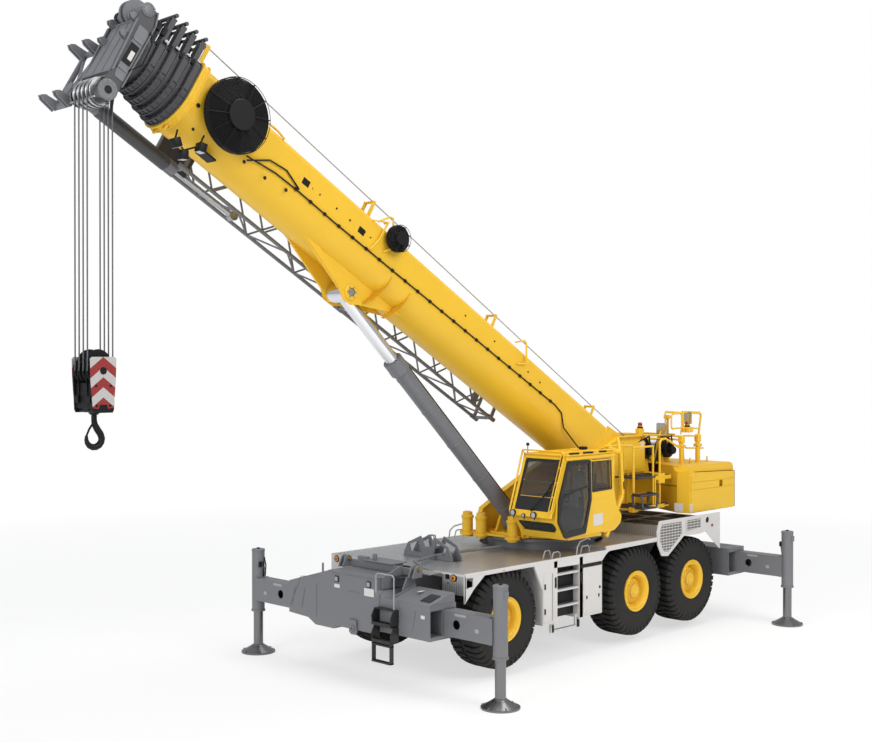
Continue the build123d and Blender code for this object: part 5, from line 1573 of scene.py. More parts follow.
for x, y, z in MIRRORS:
    panel(
        mirrors, rect(about(y, 0.125), about(z, 0.135)), "x", (x - 0.006, x + 0.004), 0.03, edge=0.003,
    )
piece(
    mirrors, "upper_mirrors", "turntable",
    paint("mirror_face", (0.62, 0.64, 0.66), 0.1, 0.03, 0.01, 0.0, Metallic=0.9),
)

# %% [markdown]
# The counterweight is a stack of cast slabs: a cover slab, a main block, and side slabs with
# rounded corners. Seams, lifting eyes and the square locking hole are on it, and blank plates
# stand where the signs would be. Thin panels that stand a few millimetres proud show the joints,
# since the slabs are one solid in CAD.

# %% Counterweight
cw = bmesh.new()
for side in (1, -1):
    edge_y = (1.532, 1.556) if side > 0 else (-1.556, -1.532)
    for part_points in (
        rect((-2.935, -4.59), (2.315, 2.775)),
        [(-2.935, 2.925), (-4.59, 2.925), (-4.59, 3.09), (-3.06, 3.145), (-2.935, 3.06)],
        rect((-2.935, -3.975), (2.77, 2.93)),
        rect((-4.125, -4.59), (2.77, 2.93)),
    ):
        panel(cw, part_points, "y", edge_y, 0.0)
    panel(
        cw, rect((-3.965, -4.135), (2.76, 2.94)), "y", (edge_y[0] - 0.004, edge_y[1] + 0.004), 0.012,
        rim=0.018,
    )
for y in (1.0, -1.0):
    for x in (-3.73, -4.38):
        part = bmesh.new()
        lathe(
            part,
            [
                (0.06 + 0.017 * math.cos(i * math.tau / 10), 0.017 * math.sin(i * math.tau / 10))
                for i in range(10)
            ],
            (0, 0, 0), (0, 1, 0), 24, closed=True,
        )
        join(cw, part, Matrix.Translation((x, y, 3.3)) @ Matrix.Rotation(0.6, 4, "Z"))
        lathe(cw, [(0.055, 3.25), (0.055, 3.266), (0.025, 3.275)], (x, y, 0), (0, 0, 1), 16)
panel(cw, [
    (-2.9, 1.2), (-2.98, 1.5), (-4.58, 1.47), (-4.58, -1.47), (-2.98, -1.5), (-2.9, -1.2),
    (-3.21, -0.6), (-3.21, 0.6),
], "z", (3.2502, 3.262), 0.03)
piece(cw, "counterweight_slabs", "turntable", YELLOW)
seams_and_hole_shade = bmesh.new()
for side in (1, -1):
    y = side * 1.5565
    beam(seams_and_hole_shade, (-3.06, y, 3.142), (-4.575, y, 3.088), 0.004, 0.01, 0)
    beam(seams_and_hole_shade, (-4.585, y, 3.08), (-4.585, y, 2.32), 0.004, 0.008, 0)
    # Set back inside the square locking hole, a black plate is painted shade in the hole.
    block(seams_and_hole_shade, (-4.118, -3.982), about(side * 1.478, 0.004), (2.782, 2.918), 0)
for side in (1, -1):
    beam(seams_and_hole_shade, (-2.843, side * 0.62, 2.85), (-2.843, side * 1.265, 2.85), 0.01, 0.012, 0)
piece(seams_and_hole_shade, "counterweight_seams_and_hole_shade", "turntable", BLACK)
plates = bmesh.new()
for side in (1, -1):
    part = bmesh.new()
    panel(part, rect((-0.19, 0.19), (-0.09, 0.09)), "y", (0, 0.003), 0.01)
    slant = Matrix.Rotation(side * math.radians(-73.2), 4, "Z")
    join(plates, part, Matrix.Translation((-2.874, side * 1.402, 2.41)) @ slant)
panel(plates, rect((-2.6, -2.48), (3.6, 3.74)), "y", (0.615, 0.618), 0.01)
piece(plates, "upper_blank_plates", "turntable", WHITE)

# %% [markdown]
# The hoist rope leaves the main winch, bends over the boom's foot and runs along the boom's top
# to its mouth. Every section's collar has a roller of its own. The first stretch, up to the first
# guide, is cut into ten straight rods; like the long stretch, it is placed with the boom as it
# stands and tied to no body.

# %% Rope and its guides
guides = bmesh.new()
for s, n in ((1.13, 0.43), (4.6, 0.48), (8.2, 0.53), (12.14, 0.595)):
    for y in (-0.05, 0.17):
        beam(guides, (s, y, 0.06), (s, y, n - 0.02), 0.016, 0.07)
    rod(guides, (s, -0.06, n - 0.035), (s, 0.18, n - 0.035), 0.022, 12)
for points in (
    [
        (8.2, 0.5, 0.06), (8.05, 0.56, 0.25), (7.98, 0.56, 0.26), (7.72, 0.56, -0.15),
        (7.86, 0.5, -0.32),
    ],
    [
        (4.2, 0.5, 0.1), (4.05, 0.56, 0.22), (3.98, 0.56, 0.2), (3.78, 0.56, -0.13),
        (3.98, 0.5, -0.24),
    ],
):
    rail(guides, points, 0.017)
piece(guides, "boom_rope_guides", "boom", YELLOW, BOOM)
for level, body in SECTION_BODIES.items():
    s = MOUTH_S + COLLAR_PITCH * level - 0.06
    roller = bmesh.new()
    for y in (-0.2, -0.06, 0.18, 0.3):
        beam(roller, (s, y, 0.05 - SECTION_INSET * level), (s, y, 0.5 - 0.012 * level), 0.014, 0.085)
    rod(roller, (s, -0.22, 0.55 - 0.012 * level), (s, 0.32, 0.55 - 0.012 * level), 0.03, 12)
    beam(roller, (s - 0.03, 0.3, 0.44), (s - 0.03, -0.2, 0.44), 0.05, 0.012)
    piece(roller, f"section_rope_roller_{level + 1}", body, DARK, BOOM)
rope = bmesh.new()
rod(rope, (1.13, 0.06, 0.44), (12.14, 0.06, 0.605), 0.01, 8)
TAIL = [(-0.3 + 1.43 * i / 10, 0.06, 0.43 + 0.01 * i / 10) for i in range(11)]
for a, b in zip(TAIL, TAIL[1:]):
    rod(rope, a, b, 0.01, 8)
boom_rope = piece(rope, "boom_rope", None, LIGHT_GREY, BOOM)
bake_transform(boom_rope)

# %% [markdown]
# The folded fly jib is a lattice: round chords joined by crossing diagonals on all four faces.
# Its foot carries a sleeve, a strut and a hinge plate at the boom's side. The diagonals of one
# bay are made in a loop that swaps their direction from bay to bay.

# %% Jib lattice
lattice = bmesh.new()
Y0, Y1, LOW, HIGH, JIB_Y = -1.06, -0.61, -0.9, -0.26, -0.835
JIB_START, JIB_LENGTH, BAYS = 3.03, 8.14, 14
for i in range(BAYS):
    a, b = JIB_START + JIB_LENGTH * i / BAYS, JIB_START + JIB_LENGTH * (i + 1) / BAYS
    swap = i % 2
    for y in (Y0, Y1):
        rod(lattice, (a, y, LOW if swap else HIGH), (b, y, HIGH if swap else LOW), 0.017, 8)
    for n in (LOW, HIGH):
        rod(lattice, (a, Y0 if swap else Y1, n), (b, Y1 if swap else Y0, n), 0.017, 8)
for y, n in ((Y0, LOW), (Y1, LOW), (Y0, HIGH), (Y1, HIGH)):
    for s in (3.0, 7.1, 11.2):
        rod(lattice, (s - 0.1, y, n), (s + 0.1, y, n), 0.042, 14)
panel(lattice, [
    (11.02, -0.96), (11.64, -0.96), (11.64, -0.42), (11.3, -0.36), (11.02, -0.55),
], "y", (-0.895, -0.875), 0.03, edge=0.004)
for y in (-0.57, -0.98):
    rod(lattice, (13.26, y, -1.22), (13.26, y, -0.36), 0.04, 14)
rod(lattice, (13.25, -0.6, -1.18), (13.25, -0.95, -0.4), 0.022, 10)
rod(lattice, (13.25, -0.95, -1.18), (13.25, -0.6, -0.4), 0.022, 10)
rod(lattice, (13.24, JIB_Y, -0.96), (12.95, JIB_Y, -0.95), 0.06, 16)
piece(lattice, "jib_lattice", "boom", GREY, BOOM)
sleeve = bmesh.new()
lathe(sleeve, [
    (0.096, 11.38), (0.118, 11.4), (0.118, 12.74), (0.096, 12.76),
], (0, JIB_Y, -0.93), (1, 0, 0), 32)
panel(sleeve, [
    (11.02, -0.95), (11.64, -0.95), (11.64, -0.4), (11.3, -0.34), (11.02, -0.52),
], "y", (-0.795, -0.78), 0.03, edge=0.004)
piece(sleeve, "jib_sleeve", "boom", DARK, BOOM)
strut = bmesh.new()
rod(strut, (11.4, JIB_Y, -0.93), (9.95, JIB_Y, -0.905), 0.052, 20)
rod(strut, (9.95, -0.895, -0.905), (9.95, -0.775, -0.905), 0.08, 20)
piece(strut, "jib_strut_rod", "boom", STEEL, BOOM)

# %% [markdown]
# The deck is bare checker plate between off-white skirts. Both are one CAD node, so one
# material tells them apart by place: plate where the surface lies inside the skirts and high,
# paint elsewhere. The lozenges are a bump worked out from Object coordinates.

# %% Checker plate
checker, given, result = shade_group(
    "checker_lozenges", [("Pitch", 0.042)], [("Height", "NodeSocketFloat")],
)
place = add(checker, "ShaderNodeTexCoord")
axes = add(checker, "ShaderNodeSeparateXYZ")
link(checker, place.outputs["Object"], axes.inputs[0])
spots = []
for operation in ("ADD", "SUBTRACT"):
    along_diagonal = calc(checker, operation, axes.outputs["X"], axes.outputs["Y"])
    cell = calc(checker, "DIVIDE", along_diagonal, given.outputs["Pitch"])
    within = calc(checker, "FRACT", calc(checker, "ADD", cell, 1000))
    spots.append((calc(checker, "FLOOR", cell), calc(checker, "SUBTRACT", within, 0.5)))
count = calc(checker, "ADD", calc(checker, "ADD", spots[0][0], spots[1][0]), 2000)
parity = calc(checker, "MULTIPLY", calc(checker, "FRACT", calc(checker, "MULTIPLY", count, 0.5)), 2.0)
lozenge = []
for wide, thin in ((2.3, 5.2), (5.2, 2.3)):
    u = calc(checker, "MULTIPLY", spots[0][1], wide)
    v = calc(checker, "MULTIPLY", spots[1][1], thin)
    away = calc(checker, "ADD", calc(checker, "MULTIPLY", u, u), calc(checker, "MULTIPLY", v, v))
    lozenge.append(calc(checker, "SUBTRACT", 1.0, away))
even = calc(checker, "MULTIPLY", lozenge[0], calc(checker, "SUBTRACT", 1.0, parity))
odd = calc(checker, "MULTIPLY", lozenge[1], parity)
link(checker, calc(checker, "MAXIMUM", calc(checker, "ADD", even, odd), 0.0), result.inputs["Height"])
DECK_EDGE_Y, DECK_LOW_Z = 1.659, 1.864


def deck_material(name, skirts):
    """Checker plate; with skirts, the parts low down or far out are painted off-white."""
    material, tree, life, bsdf = finish(name)
    life.inputs["Tone Scale"].default_value = 0.7
    raised = add(tree, "ShaderNodeGroup", node_tree=checker)
    place = add(tree, "ShaderNodeTexCoord")
    axes = add(tree, "ShaderNodeSeparateXYZ")
    link(tree, place.outputs["Object"], axes.inputs[0])
    inside = calc(tree, "LESS_THAN", calc(tree, "ABSOLUTE", axes.outputs["Y"]), DECK_EDGE_Y)
    high = calc(tree, "GREATER_THAN", axes.outputs["Z"], DECK_LOW_Z)
    metal = calc(tree, "MULTIPLY", inside, high) if skirts else inside
    worn = mix_colour(tree, life.outputs["Tone"], (0.36, 0.36, 0.365), (0.54, 0.54, 0.545))
    bright = mix_colour(tree, raised.outputs["Height"], worn, (0.8, 0.8, 0.8))
    white = mix_colour(tree, life.outputs["Tone"], (0.57, 0.555, 0.54), (0.66, 0.645, 0.63))
    link(tree, mix_colour(tree, metal, white, bright), bsdf.inputs["Base Color"])
    link(tree, calc(tree, "MULTIPLY", metal, 0.85), bsdf.inputs["Metallic"])
    rough = calc(
        tree, "MULTIPLY_ADD", life.outputs["Tone"], 0.14,
        calc(tree, "MULTIPLY_ADD", metal, -0.13, 0.37),
    )
    link(tree, rough, bsdf.inputs["Roughness"])
    emboss(tree, calc(tree, "MULTIPLY", raised.outputs["Height"], metal), 0.8, 0.005, bsdf)
    return material


DECK = deck_material("deck_plate_and_skirts", True)
TREAD = deck_material("tread_plate", False)
print(checker.name, len(checker.nodes), "shader nodes")
nodes["deck_and_fenders"].data.materials[0] = DECK

# %% [markdown]
# Along both sides: locker doors with their hinges and latches, the white posts and treads of the
# side steps, and the grab hoops above them. Only the left side is modelled; the right side is its
# mirror image.

# %% Side lockers and steps
SIDE, STEP_ZS, POST_XS = 1.686, (1.0, 1.29, 1.58), (1.605, 0.87)
doors = bmesh.new()
panel(doors, rect((1.945, 1.68), (0.775, 1.66)), "y", (SIDE, SIDE + 0.01), 0.02, edge=0.003)
panel(doors, rect((0.815, 0.28), (0.79, 1.625)), "y", (SIDE, SIDE + 0.01), 0.03, edge=0.003)
for x in POST_XS:
    panel(doors, rect(about(x, 0.05), (0.7, 1.86)), "y", (SIDE - 0.05, SIDE), 0.012, edge=0.003)
for z in STEP_ZS:
    block(doors, (0.93, 1.56), (SIDE - 0.045, SIDE - 0.012), (z - 0.012, z + 0.036), 0.006)
beam(doors, (3.96, SIDE - 0.013, 1.862), (0.1, SIDE - 0.013, 1.862), 0.034, 0.045)
beam(doors, (0.1, SIDE - 0.013, 1.932), (-1.52, SIDE - 0.013, 1.932), 0.034, 0.045)
beam(doors, (2.19, SIDE - 0.02, 1.815), (1.972, SIDE - 0.02, 1.385), 0.05, 0.016)
beam(doors, (2.2, SIDE - 0.02, 1.843), (3.475, SIDE - 0.02, 1.843), 0.018, 0.016)
mirrored(doors)
piece(doors, "side_doors_and_posts", "carrier", WHITE)
dark = bmesh.new()
for z in (1.42, 0.98):
    block(dark, (1.9, 1.935), (SIDE + 0.008, SIDE + 0.022), about(z, 0.05), 0.004)
block(dark, (1.712, 1.72), (SIDE + 0.009, SIDE + 0.013), (0.8, 1.64), 0)
panel(dark, rect((0.9, 0.262), (1.635, 1.7)), "y", (SIDE, SIDE + 0.006), 0.008)
for x in POST_XS:
    panel(dark, rect(about(x, 0.028), (1.36, 1.56)), "y", about(SIDE, 0.002), 0.026)
    block(dark, about(x, 0.03), (SIDE - 0.105, SIDE - 0.06), (0.555, 0.735), 0.004)
for x in (0.72, 0.36):
    block(dark, about(x, 0.02), (SIDE + 0.009, SIDE + 0.016), (1.05, 1.11), 0.003)
lathe(
    dark, [(0, 0.018), (0.018, 0.018), (0.024, 0.01), (0.024, 0.0)], (0.335, SIDE + 0.008, 1.23),
    (0, 1, 0), 16,
)
# The black sheet set back behind the open side steps is painted shade in the recess behind the treads.
block(dark, (0.935, 1.555), (SIDE - 0.15, SIDE - 0.14), (0.8, 1.82), 0)
mirrored(dark)
piece(dark, "side_door_hardware_and_step_shade", "carrier", BLACK)
treads = bmesh.new()
for z in STEP_ZS:
    block(treads, (0.935, 1.555), (SIDE - 0.188, SIDE - 0.046), (z + 0.03, z + 0.04), 0.002)
    block(treads, (0.935, 1.555), (SIDE - 0.046, SIDE - 0.008), (z + 0.018, z + 0.042), 0.005)
block(treads, (0.935, 1.6), (SIDE - 0.102, SIDE - 0.062), (0.596, 0.606), 0.003)
mirrored(treads)
piece(treads, "side_step_treads", "carrier", STEEL)
hoops = bmesh.new()
rail(
    hoops,
    in_plane(
        1.6, (1.61, 1.87), (1.58, 1.96), (1.55, 1.985), (1.42, 1.985), (1.38, 1.95), (1.38, 1.87),
    ),
    0.012,
)
rail(
    hoops,
    in_plane(1.6, (0.79, 1.87), (0.75, 1.99), (0.72, 2.01), (0.57, 2.01), (0.53, 1.97), (0.53, 1.87)),
    0.012,
)
rail(hoops, [
    (0.93, 1.62, 1.87), (0.9, 1.62, 2.02), (0.8, 1.6, 2.1), (0.52, 1.56, 2.14), (0.44, 1.55, 2.1),
], 0.014)
rail(hoops, in_plane(1.45, (1.68, 1.88), (1.62, 2.0), (1.5, 2.0), (1.46, 1.88)), 0.012)
mirrored(hoops)
piece(hoops, "deck_grab_hoops", "carrier", LIGHT_GREY)

# %% [markdown]
# Beside the engine are perforated sheets: grids whose cells are inset and opened, then cut to
# outline by planes. Behind them lie black sheets of painted shade, so that the holes read dark.
# Louvres lie on the engine's cover and across the rear.

# %% Perforated panels and louvres
def perforated(bm, outline, y, pitch=0.054, web=0.0065, thick=0.003):
    """A sheet with square holes, cut to a convex outline in the XZ plane."""
    part = bmesh.new()
    xs, zs = [p[0] for p in outline], [p[1] for p in outline]
    wide, tall = max(xs) - min(xs), max(zs) - min(zs)
    bmesh.ops.create_grid(
        part, x_segments=max(1, round(wide / pitch)), y_segments=max(1, round(tall / pitch)), size=0.5,
    )
    centre = Matrix.Translation(((max(xs) + min(xs)) / 2, y, (max(zs) + min(zs)) / 2))
    upright = Matrix.Rotation(math.pi / 2, 4, "X") @ Matrix.Diagonal((wide, tall, 1, 1))
    bmesh.ops.transform(part, matrix=centre @ upright, verts=part.verts)
    inset = bmesh.ops.inset_individual(
        part, faces=list(part.faces), thickness=web, use_even_offset=True,
    )
    keep_faces(part, inset["faces"])
    middle = Vector((sum(xs) / len(xs), y, sum(zs) / len(zs)))
    for a, b in zip(outline, outline[1:] + outline[:1]):
        start, way = Vector((a[0], y, a[1])), Vector((b[0] - a[0], 0, b[1] - a[1]))
        # The falls hang between the head sheaves and the hook block: two straight rods for each sheave
        # groove, on the falls body, with a mesh of their own.
        across = way.cross(Vector((0, 1, 0))).normalized()
        if (middle - start).dot(across) > 0:
            across = -across
        bmesh.ops.bisect_plane(
            part, geom=part.verts[:] + part.edges[:] + part.faces[:], plane_co=start, plane_no=across,
            clear_outer=True,
        )
    thicken(part, list(part.faces), (0, thick, 0))
    join(bm, part)


MESHES = (
    [
        (-1.6, 1.86), (-1.575, 2.04), (-1.65, 2.225), (-2.4, 2.225), (-2.425, 1.945),
        (-1.925, 1.61), (-1.715, 1.63),
    ],
    [(-2.53, 2.232), (-3.1, 2.232), (-3.1, 1.985), (-2.53, 1.96)],
)
sheets, hole_shade = bmesh.new(), bmesh.new()
for outline in MESHES:
    perforated(sheets, outline, SIDE + 0.003)
    panel(sheets, outline, "y", (SIDE, SIDE + 0.009), 0.03, rim=0.028)
    # Behind each perforated sheet lies a black sheet of painted shade, so that the holes read dark.
    panel(hole_shade, outline, "y", (SIDE, SIDE + 0.0015), 0.02)
lathe(sheets, [
    (0.062, 0.0), (0.062, 0.01), (0.075, 0.01), (0.08, 0.0),
], (-3.307, SIDE, 2.15), (0, 1, 0), 28)
beam(sheets, (-3.3, SIDE + 0.004, 1.9), (-3.78, SIDE + 0.004, 1.53), 0.01, 0.05)
# The black disc inside the white ring is painted shade in the ring's opening.
lathe(hole_shade, [(0, 0.004), (0.062, 0.004), (0.062, 0.0)], (-3.307, SIDE, 2.15), (0, 1, 0), 28)
mirrored(sheets)
mirrored(hole_shade)
piece(sheets, "perforated_panels", "carrier", WHITE)
piece(hole_shade, "perforated_panel_hole_shade", "carrier", BLACK)
cover = bmesh.new()
for x0, x1 in ((-2.3, -1.85), (-2.9, -2.45), (-3.65, -3.1)):
    for y in (-1.05, 0.0, 1.05):
        panel(cover, rect((x0, x1), about(y, 0.42)), "z", (2.15, 2.158), 0.03, rim=0.02)
        for i in range(7):
            t = x0 + 0.05 + (x1 - x0 - 0.1) * i / 6
            beam(cover, (t, y - 0.39, 2.156), (t, y + 0.39, 2.156), 0.03, 0.012, 0)
for z in (1.93, 1.98, 2.03, 2.08):
    beam(cover, (-3.806, -1.4, z), (-3.806, 1.4, z), 0.012, 0.03, 0)
piece(cover, "engine_cover_louvres", "carrier", DARK)

# %% [markdown]
# The front outrigger box closes the carrier's nose. On it sit two driving lamps, a fold-down step
# ladder with its thin handrail, a towing lug, the sloping lid over the hoses, and the cross beam
# with lugs to which the hook block is tied for the road. Most of them are folded sheet, made as
# an outline carried over a width, with a small bevel where light catches the fold.

# %% Front box
NOSE_X, LAMP_YS, TIE_YS = 4.883, (-0.476, 0.341), (-0.9, 0.86)
SEAM_X = NOSE_X + 0.002
front = bmesh.new()
panel(front, [
    (4.285, 1.485), (4.285, 1.64), (4.42, 1.645), (NOSE_X + 0.004, 1.5), (NOSE_X + 0.004, 1.485),
], "y", (0.93, 1.765), 0, edge=0.008)
beam(front, (4.35, 0.915, 1.66), (NOSE_X + 0.006, 0.915, 1.515), 0.02, 0.05)
panel(front, [
    (4.3, 1.6), (4.3, 1.93), (4.36, 1.955), (4.62, 1.86), (4.8, 1.8), (4.8, 1.6),
], "y", (0.545, 0.575), 0.0, edge=0.004)
panel(front, [
    (4.3, 1.6), (4.3, 1.84), (4.5, 1.8), (4.6, 1.6),
], "y", (0.83, 0.86), 0.0, edge=0.004)
block(front, (4.285, 4.325), (-0.92, 0.93), (1.8, 1.925), 0.008)
block(front, (4.285, 4.4), (-0.86, -0.82), (1.78, 1.985), 0.008)
for y in TIE_YS:
    for near in (y, y + 0.1):
        panel(front, [
            (4.26, 1.79), (4.28, 1.955), (4.34, 2.0), (4.42, 1.97), (4.5, 1.79),
        ], "y", (near, near + 0.03), 0.02, edge=0.004)
block(front, (3.99, 4.36), (-0.4, 0.34), (1.93, 1.955), 0.006)
for y in ((-0.36, -0.33), (0.27, 0.3)):
    block(front, (4.05, 4.3), y, (1.79, 1.935), 0.004)
block(front, (4.2, 4.3), (-0.6, -0.38), (1.9, 1.99), 0.01)
block(front, (4.22, 4.28), (-0.24, -0.16), (1.95, 2.06), 0.012)
panel(front, [
    (4.3, 1.8), (NOSE_X, 1.8), (NOSE_X + 0.006, 1.794), (4.3, 1.794),
], "y", (-0.7, 0.55), 0)
panel(front, [
    (-0.14, 1.03), (0.05, 1.03), (0.06, 0.82), (0.02, 0.78), (-0.08, 0.78), (-0.13, 0.82),
], "x", (NOSE_X, NOSE_X + 0.035), 0.01, edge=0.004)
lathe(front, [
    (0.03, 0.034), (0.03, 0.052), (0.055, 0.052), (0.06, 0.034),
], (NOSE_X, -0.035, 0.885), (1, 0, 0), 20)
rod(front, (4.62, -1.16, 1.6), (4.62, -1.16, 1.84), 0.018, 12)
for y0, y1, z0, z1 in ((-1.7, -1.15, 1.05, 1.56), (1.05, 1.7, 1.03, 1.3)):
    for y in (y0, (y0 + y1) / 2):
        beam(front, (SEAM_X, y, z0), (SEAM_X, y + 0.08, z0 + 0.34), 0.01, 0.008, 0)
for y in (-1.02, 0.6):
    beam(front, (SEAM_X, y, 0.95), (SEAM_X, y, 1.52), 0.01, 0.012, 0.002)
for a, b in (
    ((-0.66, 1.76), (0.52, 1.76)), ((-0.22, 1.5), (0.08, 1.5)), ((-1.75, 1.05), (-1.45, 1.6)),
    ((-1.45, 1.6), (-1.0, 1.66)),
):
    beam(front, (SEAM_X, a[0], a[1]), (SEAM_X, b[0], b[1]), 0.01, 0.01, 0.002)
rail(front, [
    (4.1, 0.8, 1.94), (3.9, 0.42, 1.955), (3.2, 0.2, 1.955), (2.5, 0.2, 1.955),
    (1.5, 0.3, 1.955),
], 0.028, 12)
piece(front, "front_box_fittings", "carrier", GREY)
step = bmesh.new()
for z in (1.34, 1.06):
    for y in (0.59, 1.045):
        panel(step, [
            (4.885, z - 0.26), (5.05, z - 0.24), (5.07, z - 0.13), (5.0, z), (4.885, z),
        ], "y", (y, y + 0.02), 0, edge=0.003)
    block(step, (4.9, 5.065), (0.6, 1.055), (z - 0.265, z - 0.248), 0.004)
    block(step, (5.055, 5.072), (0.6, 1.055), (z - 0.27, z - 0.215), 0.004)
    block(step, (4.89, 5.005), (0.6, 1.055), (z - 0.012, z + 0.004), 0.004)
for y in (0.6, 1.025):
    block(step, (4.985, 5.065), (y, y + 0.03), (0.46, 0.86), 0.006)
for z in (0.46, 0.74):
    block(step, (4.98, 5.07), (0.6, 1.055), (z, z + 0.03), 0.006)
for i in range(8):
    block(step, (4.9, 5.06), (0.62 + 0.053 * i, 0.638 + 0.053 * i), (1.085, 1.11), 0)
for y in LAMP_YS:
    block(step, (NOSE_X, NOSE_X + 0.02), about(y, 0.055), (1.615, 1.725), 0.01)
block(step, (4.33, 4.6), (0.6, 0.82), (1.765, 1.798), 0.006)
panel(step, [(4.55, 1.615), (4.8, 1.545), (4.8, 1.54), (4.55, 1.61)], "y", (1.48, 1.7), 0)
piece(step, "front_step_ladder", "carrier", CHARCOAL)
thin = bmesh.new()
rail(thin, [
    (4.9, 0.6, 1.5), (5.0, 0.64, 1.6), (5.0, 0.64, 1.88), (5.0, 0.68, 1.915), (5.0, 1.03, 1.915),
    (5.0, 1.07, 1.88), (5.0, 1.07, 1.36),
], 0.01)
for y in LAMP_YS:
    block(thin, (NOSE_X + 0.018, NOSE_X + 0.024), about(y, 0.036), (1.634, 1.706), 0.008)
piece(thin, "front_handrail", "carrier", LIGHT_GREY)
pins = bmesh.new()
for y in TIE_YS:
    rod(pins, (4.36, y - 0.05, 1.93), (4.36, y + 0.18, 1.93), 0.026, 16)
brass = paint("brass_pin", (0.42, 0.27, 0.08), 0.35, 0.1, 0.02, 0.1, Metallic=0.8)
piece(pins, "front_tie_pins", "carrier", brass)
plates = bmesh.new()
for y, z, w, h in (
    (-0.476, 1.548, 0.07, 0.03), (0.341, 1.535, 0.12, 0.065), (1.62, 1.3, 0.045, 0.028),
):
    panel(plates, rect(about(y, w), about(z, h)), "x", (NOSE_X, NOSE_X + 0.003), 0.006)
panel(plates, [(4.52, 1.2), (4.64, 1.24), (4.6, 1.3), (4.48, 1.26)], "z", (1.628, 1.63), 0)
piece(plates, "front_blank_plates", "carrier", WHITE)

# %% [markdown]
# The deck's front edge: a white fascia on the right, a bare metal one on the left beside the
# wheel, a checker step between them, and a round direction lamp at each end. The lamps are spun,
# with the red centre and the amber ring as separate pieces for their lenses.

# %% Deck front edge
fascia = bmesh.new()
block(fascia, (3.944, 3.97), (-1.686, -0.95), (1.6, 1.872), 0.004)
block(fascia, (3.944, 3.972), (1.655, 1.686), (1.42, 1.872), 0.004)
block(fascia, (3.944, 3.974), (0.95, 1.686), (1.835, 1.872), 0.004)
piece(fascia, "deck_front_fascia", "carrier", WHITE)
metal = bmesh.new()
block(metal, (3.948, 3.966), (1.16, 1.655), (1.52, 1.835), 0.003)
block(metal, (3.972, 4.27), (0.44, 1.17), (1.845, 1.866), 0.004)
piece(metal, "deck_front_step", "carrier", TREAD)
DIRECTION_LAMPS, LAMP_FACE_X = (-1.531, 1.438), 3.968
rings = bmesh.new()
for y in DIRECTION_LAMPS:
    lathe(rings, [
        (0.062, 0), (0.062, 0.02), (0.062 * 0.86, 0.026), (0.062 * 0.86, 0.01),
    ], (LAMP_FACE_X, y, 1.8), (1, 0, 0), 24)
for y in (-1.375, 1.285):
    block(rings, (3.966, 3.978), about(y, 0.045), (1.765, 1.85), 0.006)
for y in (-1.36, 1.3):
    rod(rings, (3.96, y, 1.7), (3.98, y, 1.7), 0.01)
piece(rings, "front_lamp_rims", "carrier", BLACK)
amber, red = bmesh.new(), bmesh.new()
for y in DIRECTION_LAMPS:
    lathe(amber, [
        (0.053, 0.008), (0.05, 0.022), (0.026, 0.027), (0.026, 0.008),
    ], (LAMP_FACE_X, y, 1.8), (1, 0, 0), 24)
    lathe(red, [
        (0.026, 0.008), (0.026, 0.028), (0.018, 0.032), (0, 0.033),
    ], (LAMP_FACE_X, y, 1.8), (1, 0, 0), 24)
for side in (-1, 1):
    lathe(
        red, [(0, 0.014), (0.026, 0.012), (0.032, 0.0)], (-3.496, side * 1.687, 2.024), (0, side, 0),
        20,
    )
    lathe(
        red, [(0, 0.012), (0.012, 0.01), (0.014, 0.0)], (0.46, side * 1.692, 1.668), (0, side, 0), 12,
    )
    block(amber, (2.98, 3.02), about(side * 1.69, 0.006), (1.835, 1.855), 0.003)
    for y in (1.46, 1.3):
        block(red, (-3.822, -3.8), about(side * y, 0.06), (1.96, 2.06), 0.01)
piece(amber, "amber_lamps", "carrier", AMBER)
piece(red, "red_lamps", "carrier", RED)

# %% [markdown]
# Outriggers: a rolled cap and a collar on every jack tube, hoses to the tube's head, ribs on the
# float, and blank plates where the signs would be. One loop dresses all four corners, since they
# differ only in place and side.

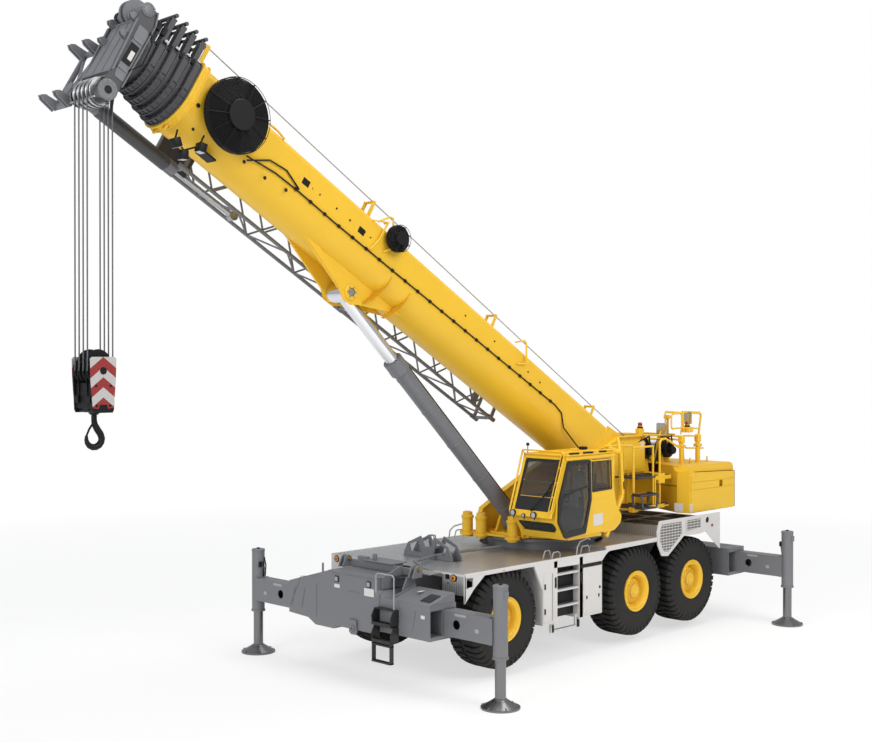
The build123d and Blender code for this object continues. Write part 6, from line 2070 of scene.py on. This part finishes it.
# %% Outriggers
JACK_X, JACK_Y, RIGHT_SHIFT = 4.434, 2.887, 0.295
for end, left_x in (("front", JACK_X), ("rear", -JACK_X)):
    for side in (1, -1):
        x = left_x + (RIGHT_SHIFT if side < 0 else 0)
        y = side * JACK_Y
        tag = f"{end}_{'left' if side > 0 else 'right'}"
        caps = bmesh.new()
        lathe(caps, [
            (0, 1.925), (0.105, 1.925), (0.124, 1.915), (0.124, 1.88), (0.118, 1.875),
        ], (x, y, 0), (0, 0, 1), 32)
        lathe(caps, [
            (0.118, 0.8), (0.13, 0.8), (0.13, 0.768), (0.1, 0.768),
        ], (x, y, 0), (0, 0, 1), 32)
        for z in (0.985, 1.4):
            block(caps, about(x, 0.134), about(y - side * 0.12, 0.004), about(z, 0.01), 0.002)
        block(caps, about(x, 0.05), (y + side * 0.1, y + side * 0.135), (1.72, 1.83), 0.006)
        piece(caps, f"jack_tube_caps_{tag}", f"beam_{tag}", GREY)
        bits = bmesh.new()
        for bends in (
            [(0.06, 0.13, 1.42), (0.06, 0.15, 1.62), (0.05, 0.115, 1.78)],
            [(0.02, 0.13, 1.42), (0.02, 0.155, 1.58), (0.02, 0.12, 1.7)],
        ):
            rail(bits, [(x - dx, y - side * dy, z) for dx, dy, z in bends], 0.012)
        block(bits, (x + 0.02, x + 0.08), about(y - side * 0.125, 0.02), (1.6, 1.7), 0.006)
        rod(bits, (x, y, 1.92), (x, y, 1.945), 0.03, 16)
        piece(bits, f"jack_hoses_{tag}", f"beam_{tag}", BLACK)
        foot = bmesh.new()
        for turn in range(6):
            a = math.tau * turn / 6
            way = Vector((math.cos(a), math.sin(a), 0))
            beam(
                foot, Vector((x, y, 0.055)) + way * 0.12, Vector((x, y, 0.032)) + way * 0.3, 0.014,
                0.045, 0.003,
            )
        lathe(foot, [
            (0.0885, 0.158), (0.105, 0.15), (0.105, 0.13), (0.14, 0.125),
        ], (x, y, 0), (0, 0, 1), 28)
        lathe(foot, [
            (0.29, 0.024), (0.298, 0.034), (0.312, 0.03), (0.312, 0.012),
        ], (x, y, 0), (0, 0, 1), 40)
        piece(foot, f"float_ribs_{tag}", f"jack_{tag}", DARK_STEEL)
        sign = bmesh.new()
        for near, reach, z0, z1 in ((0.34, 0.42, 1.13, 1.19), (0.62, 0.86, 1.335, 1.375)):
            across = sorted((y - side * near, y - side * reach))
            panel(sign, rect(across, (z0, z1)), "x", (x + 0.132, x + 0.134), 0.004)
        piece(sign, f"beam_blank_plates_{tag}", f"beam_{tag}", LIGHT_GREY)
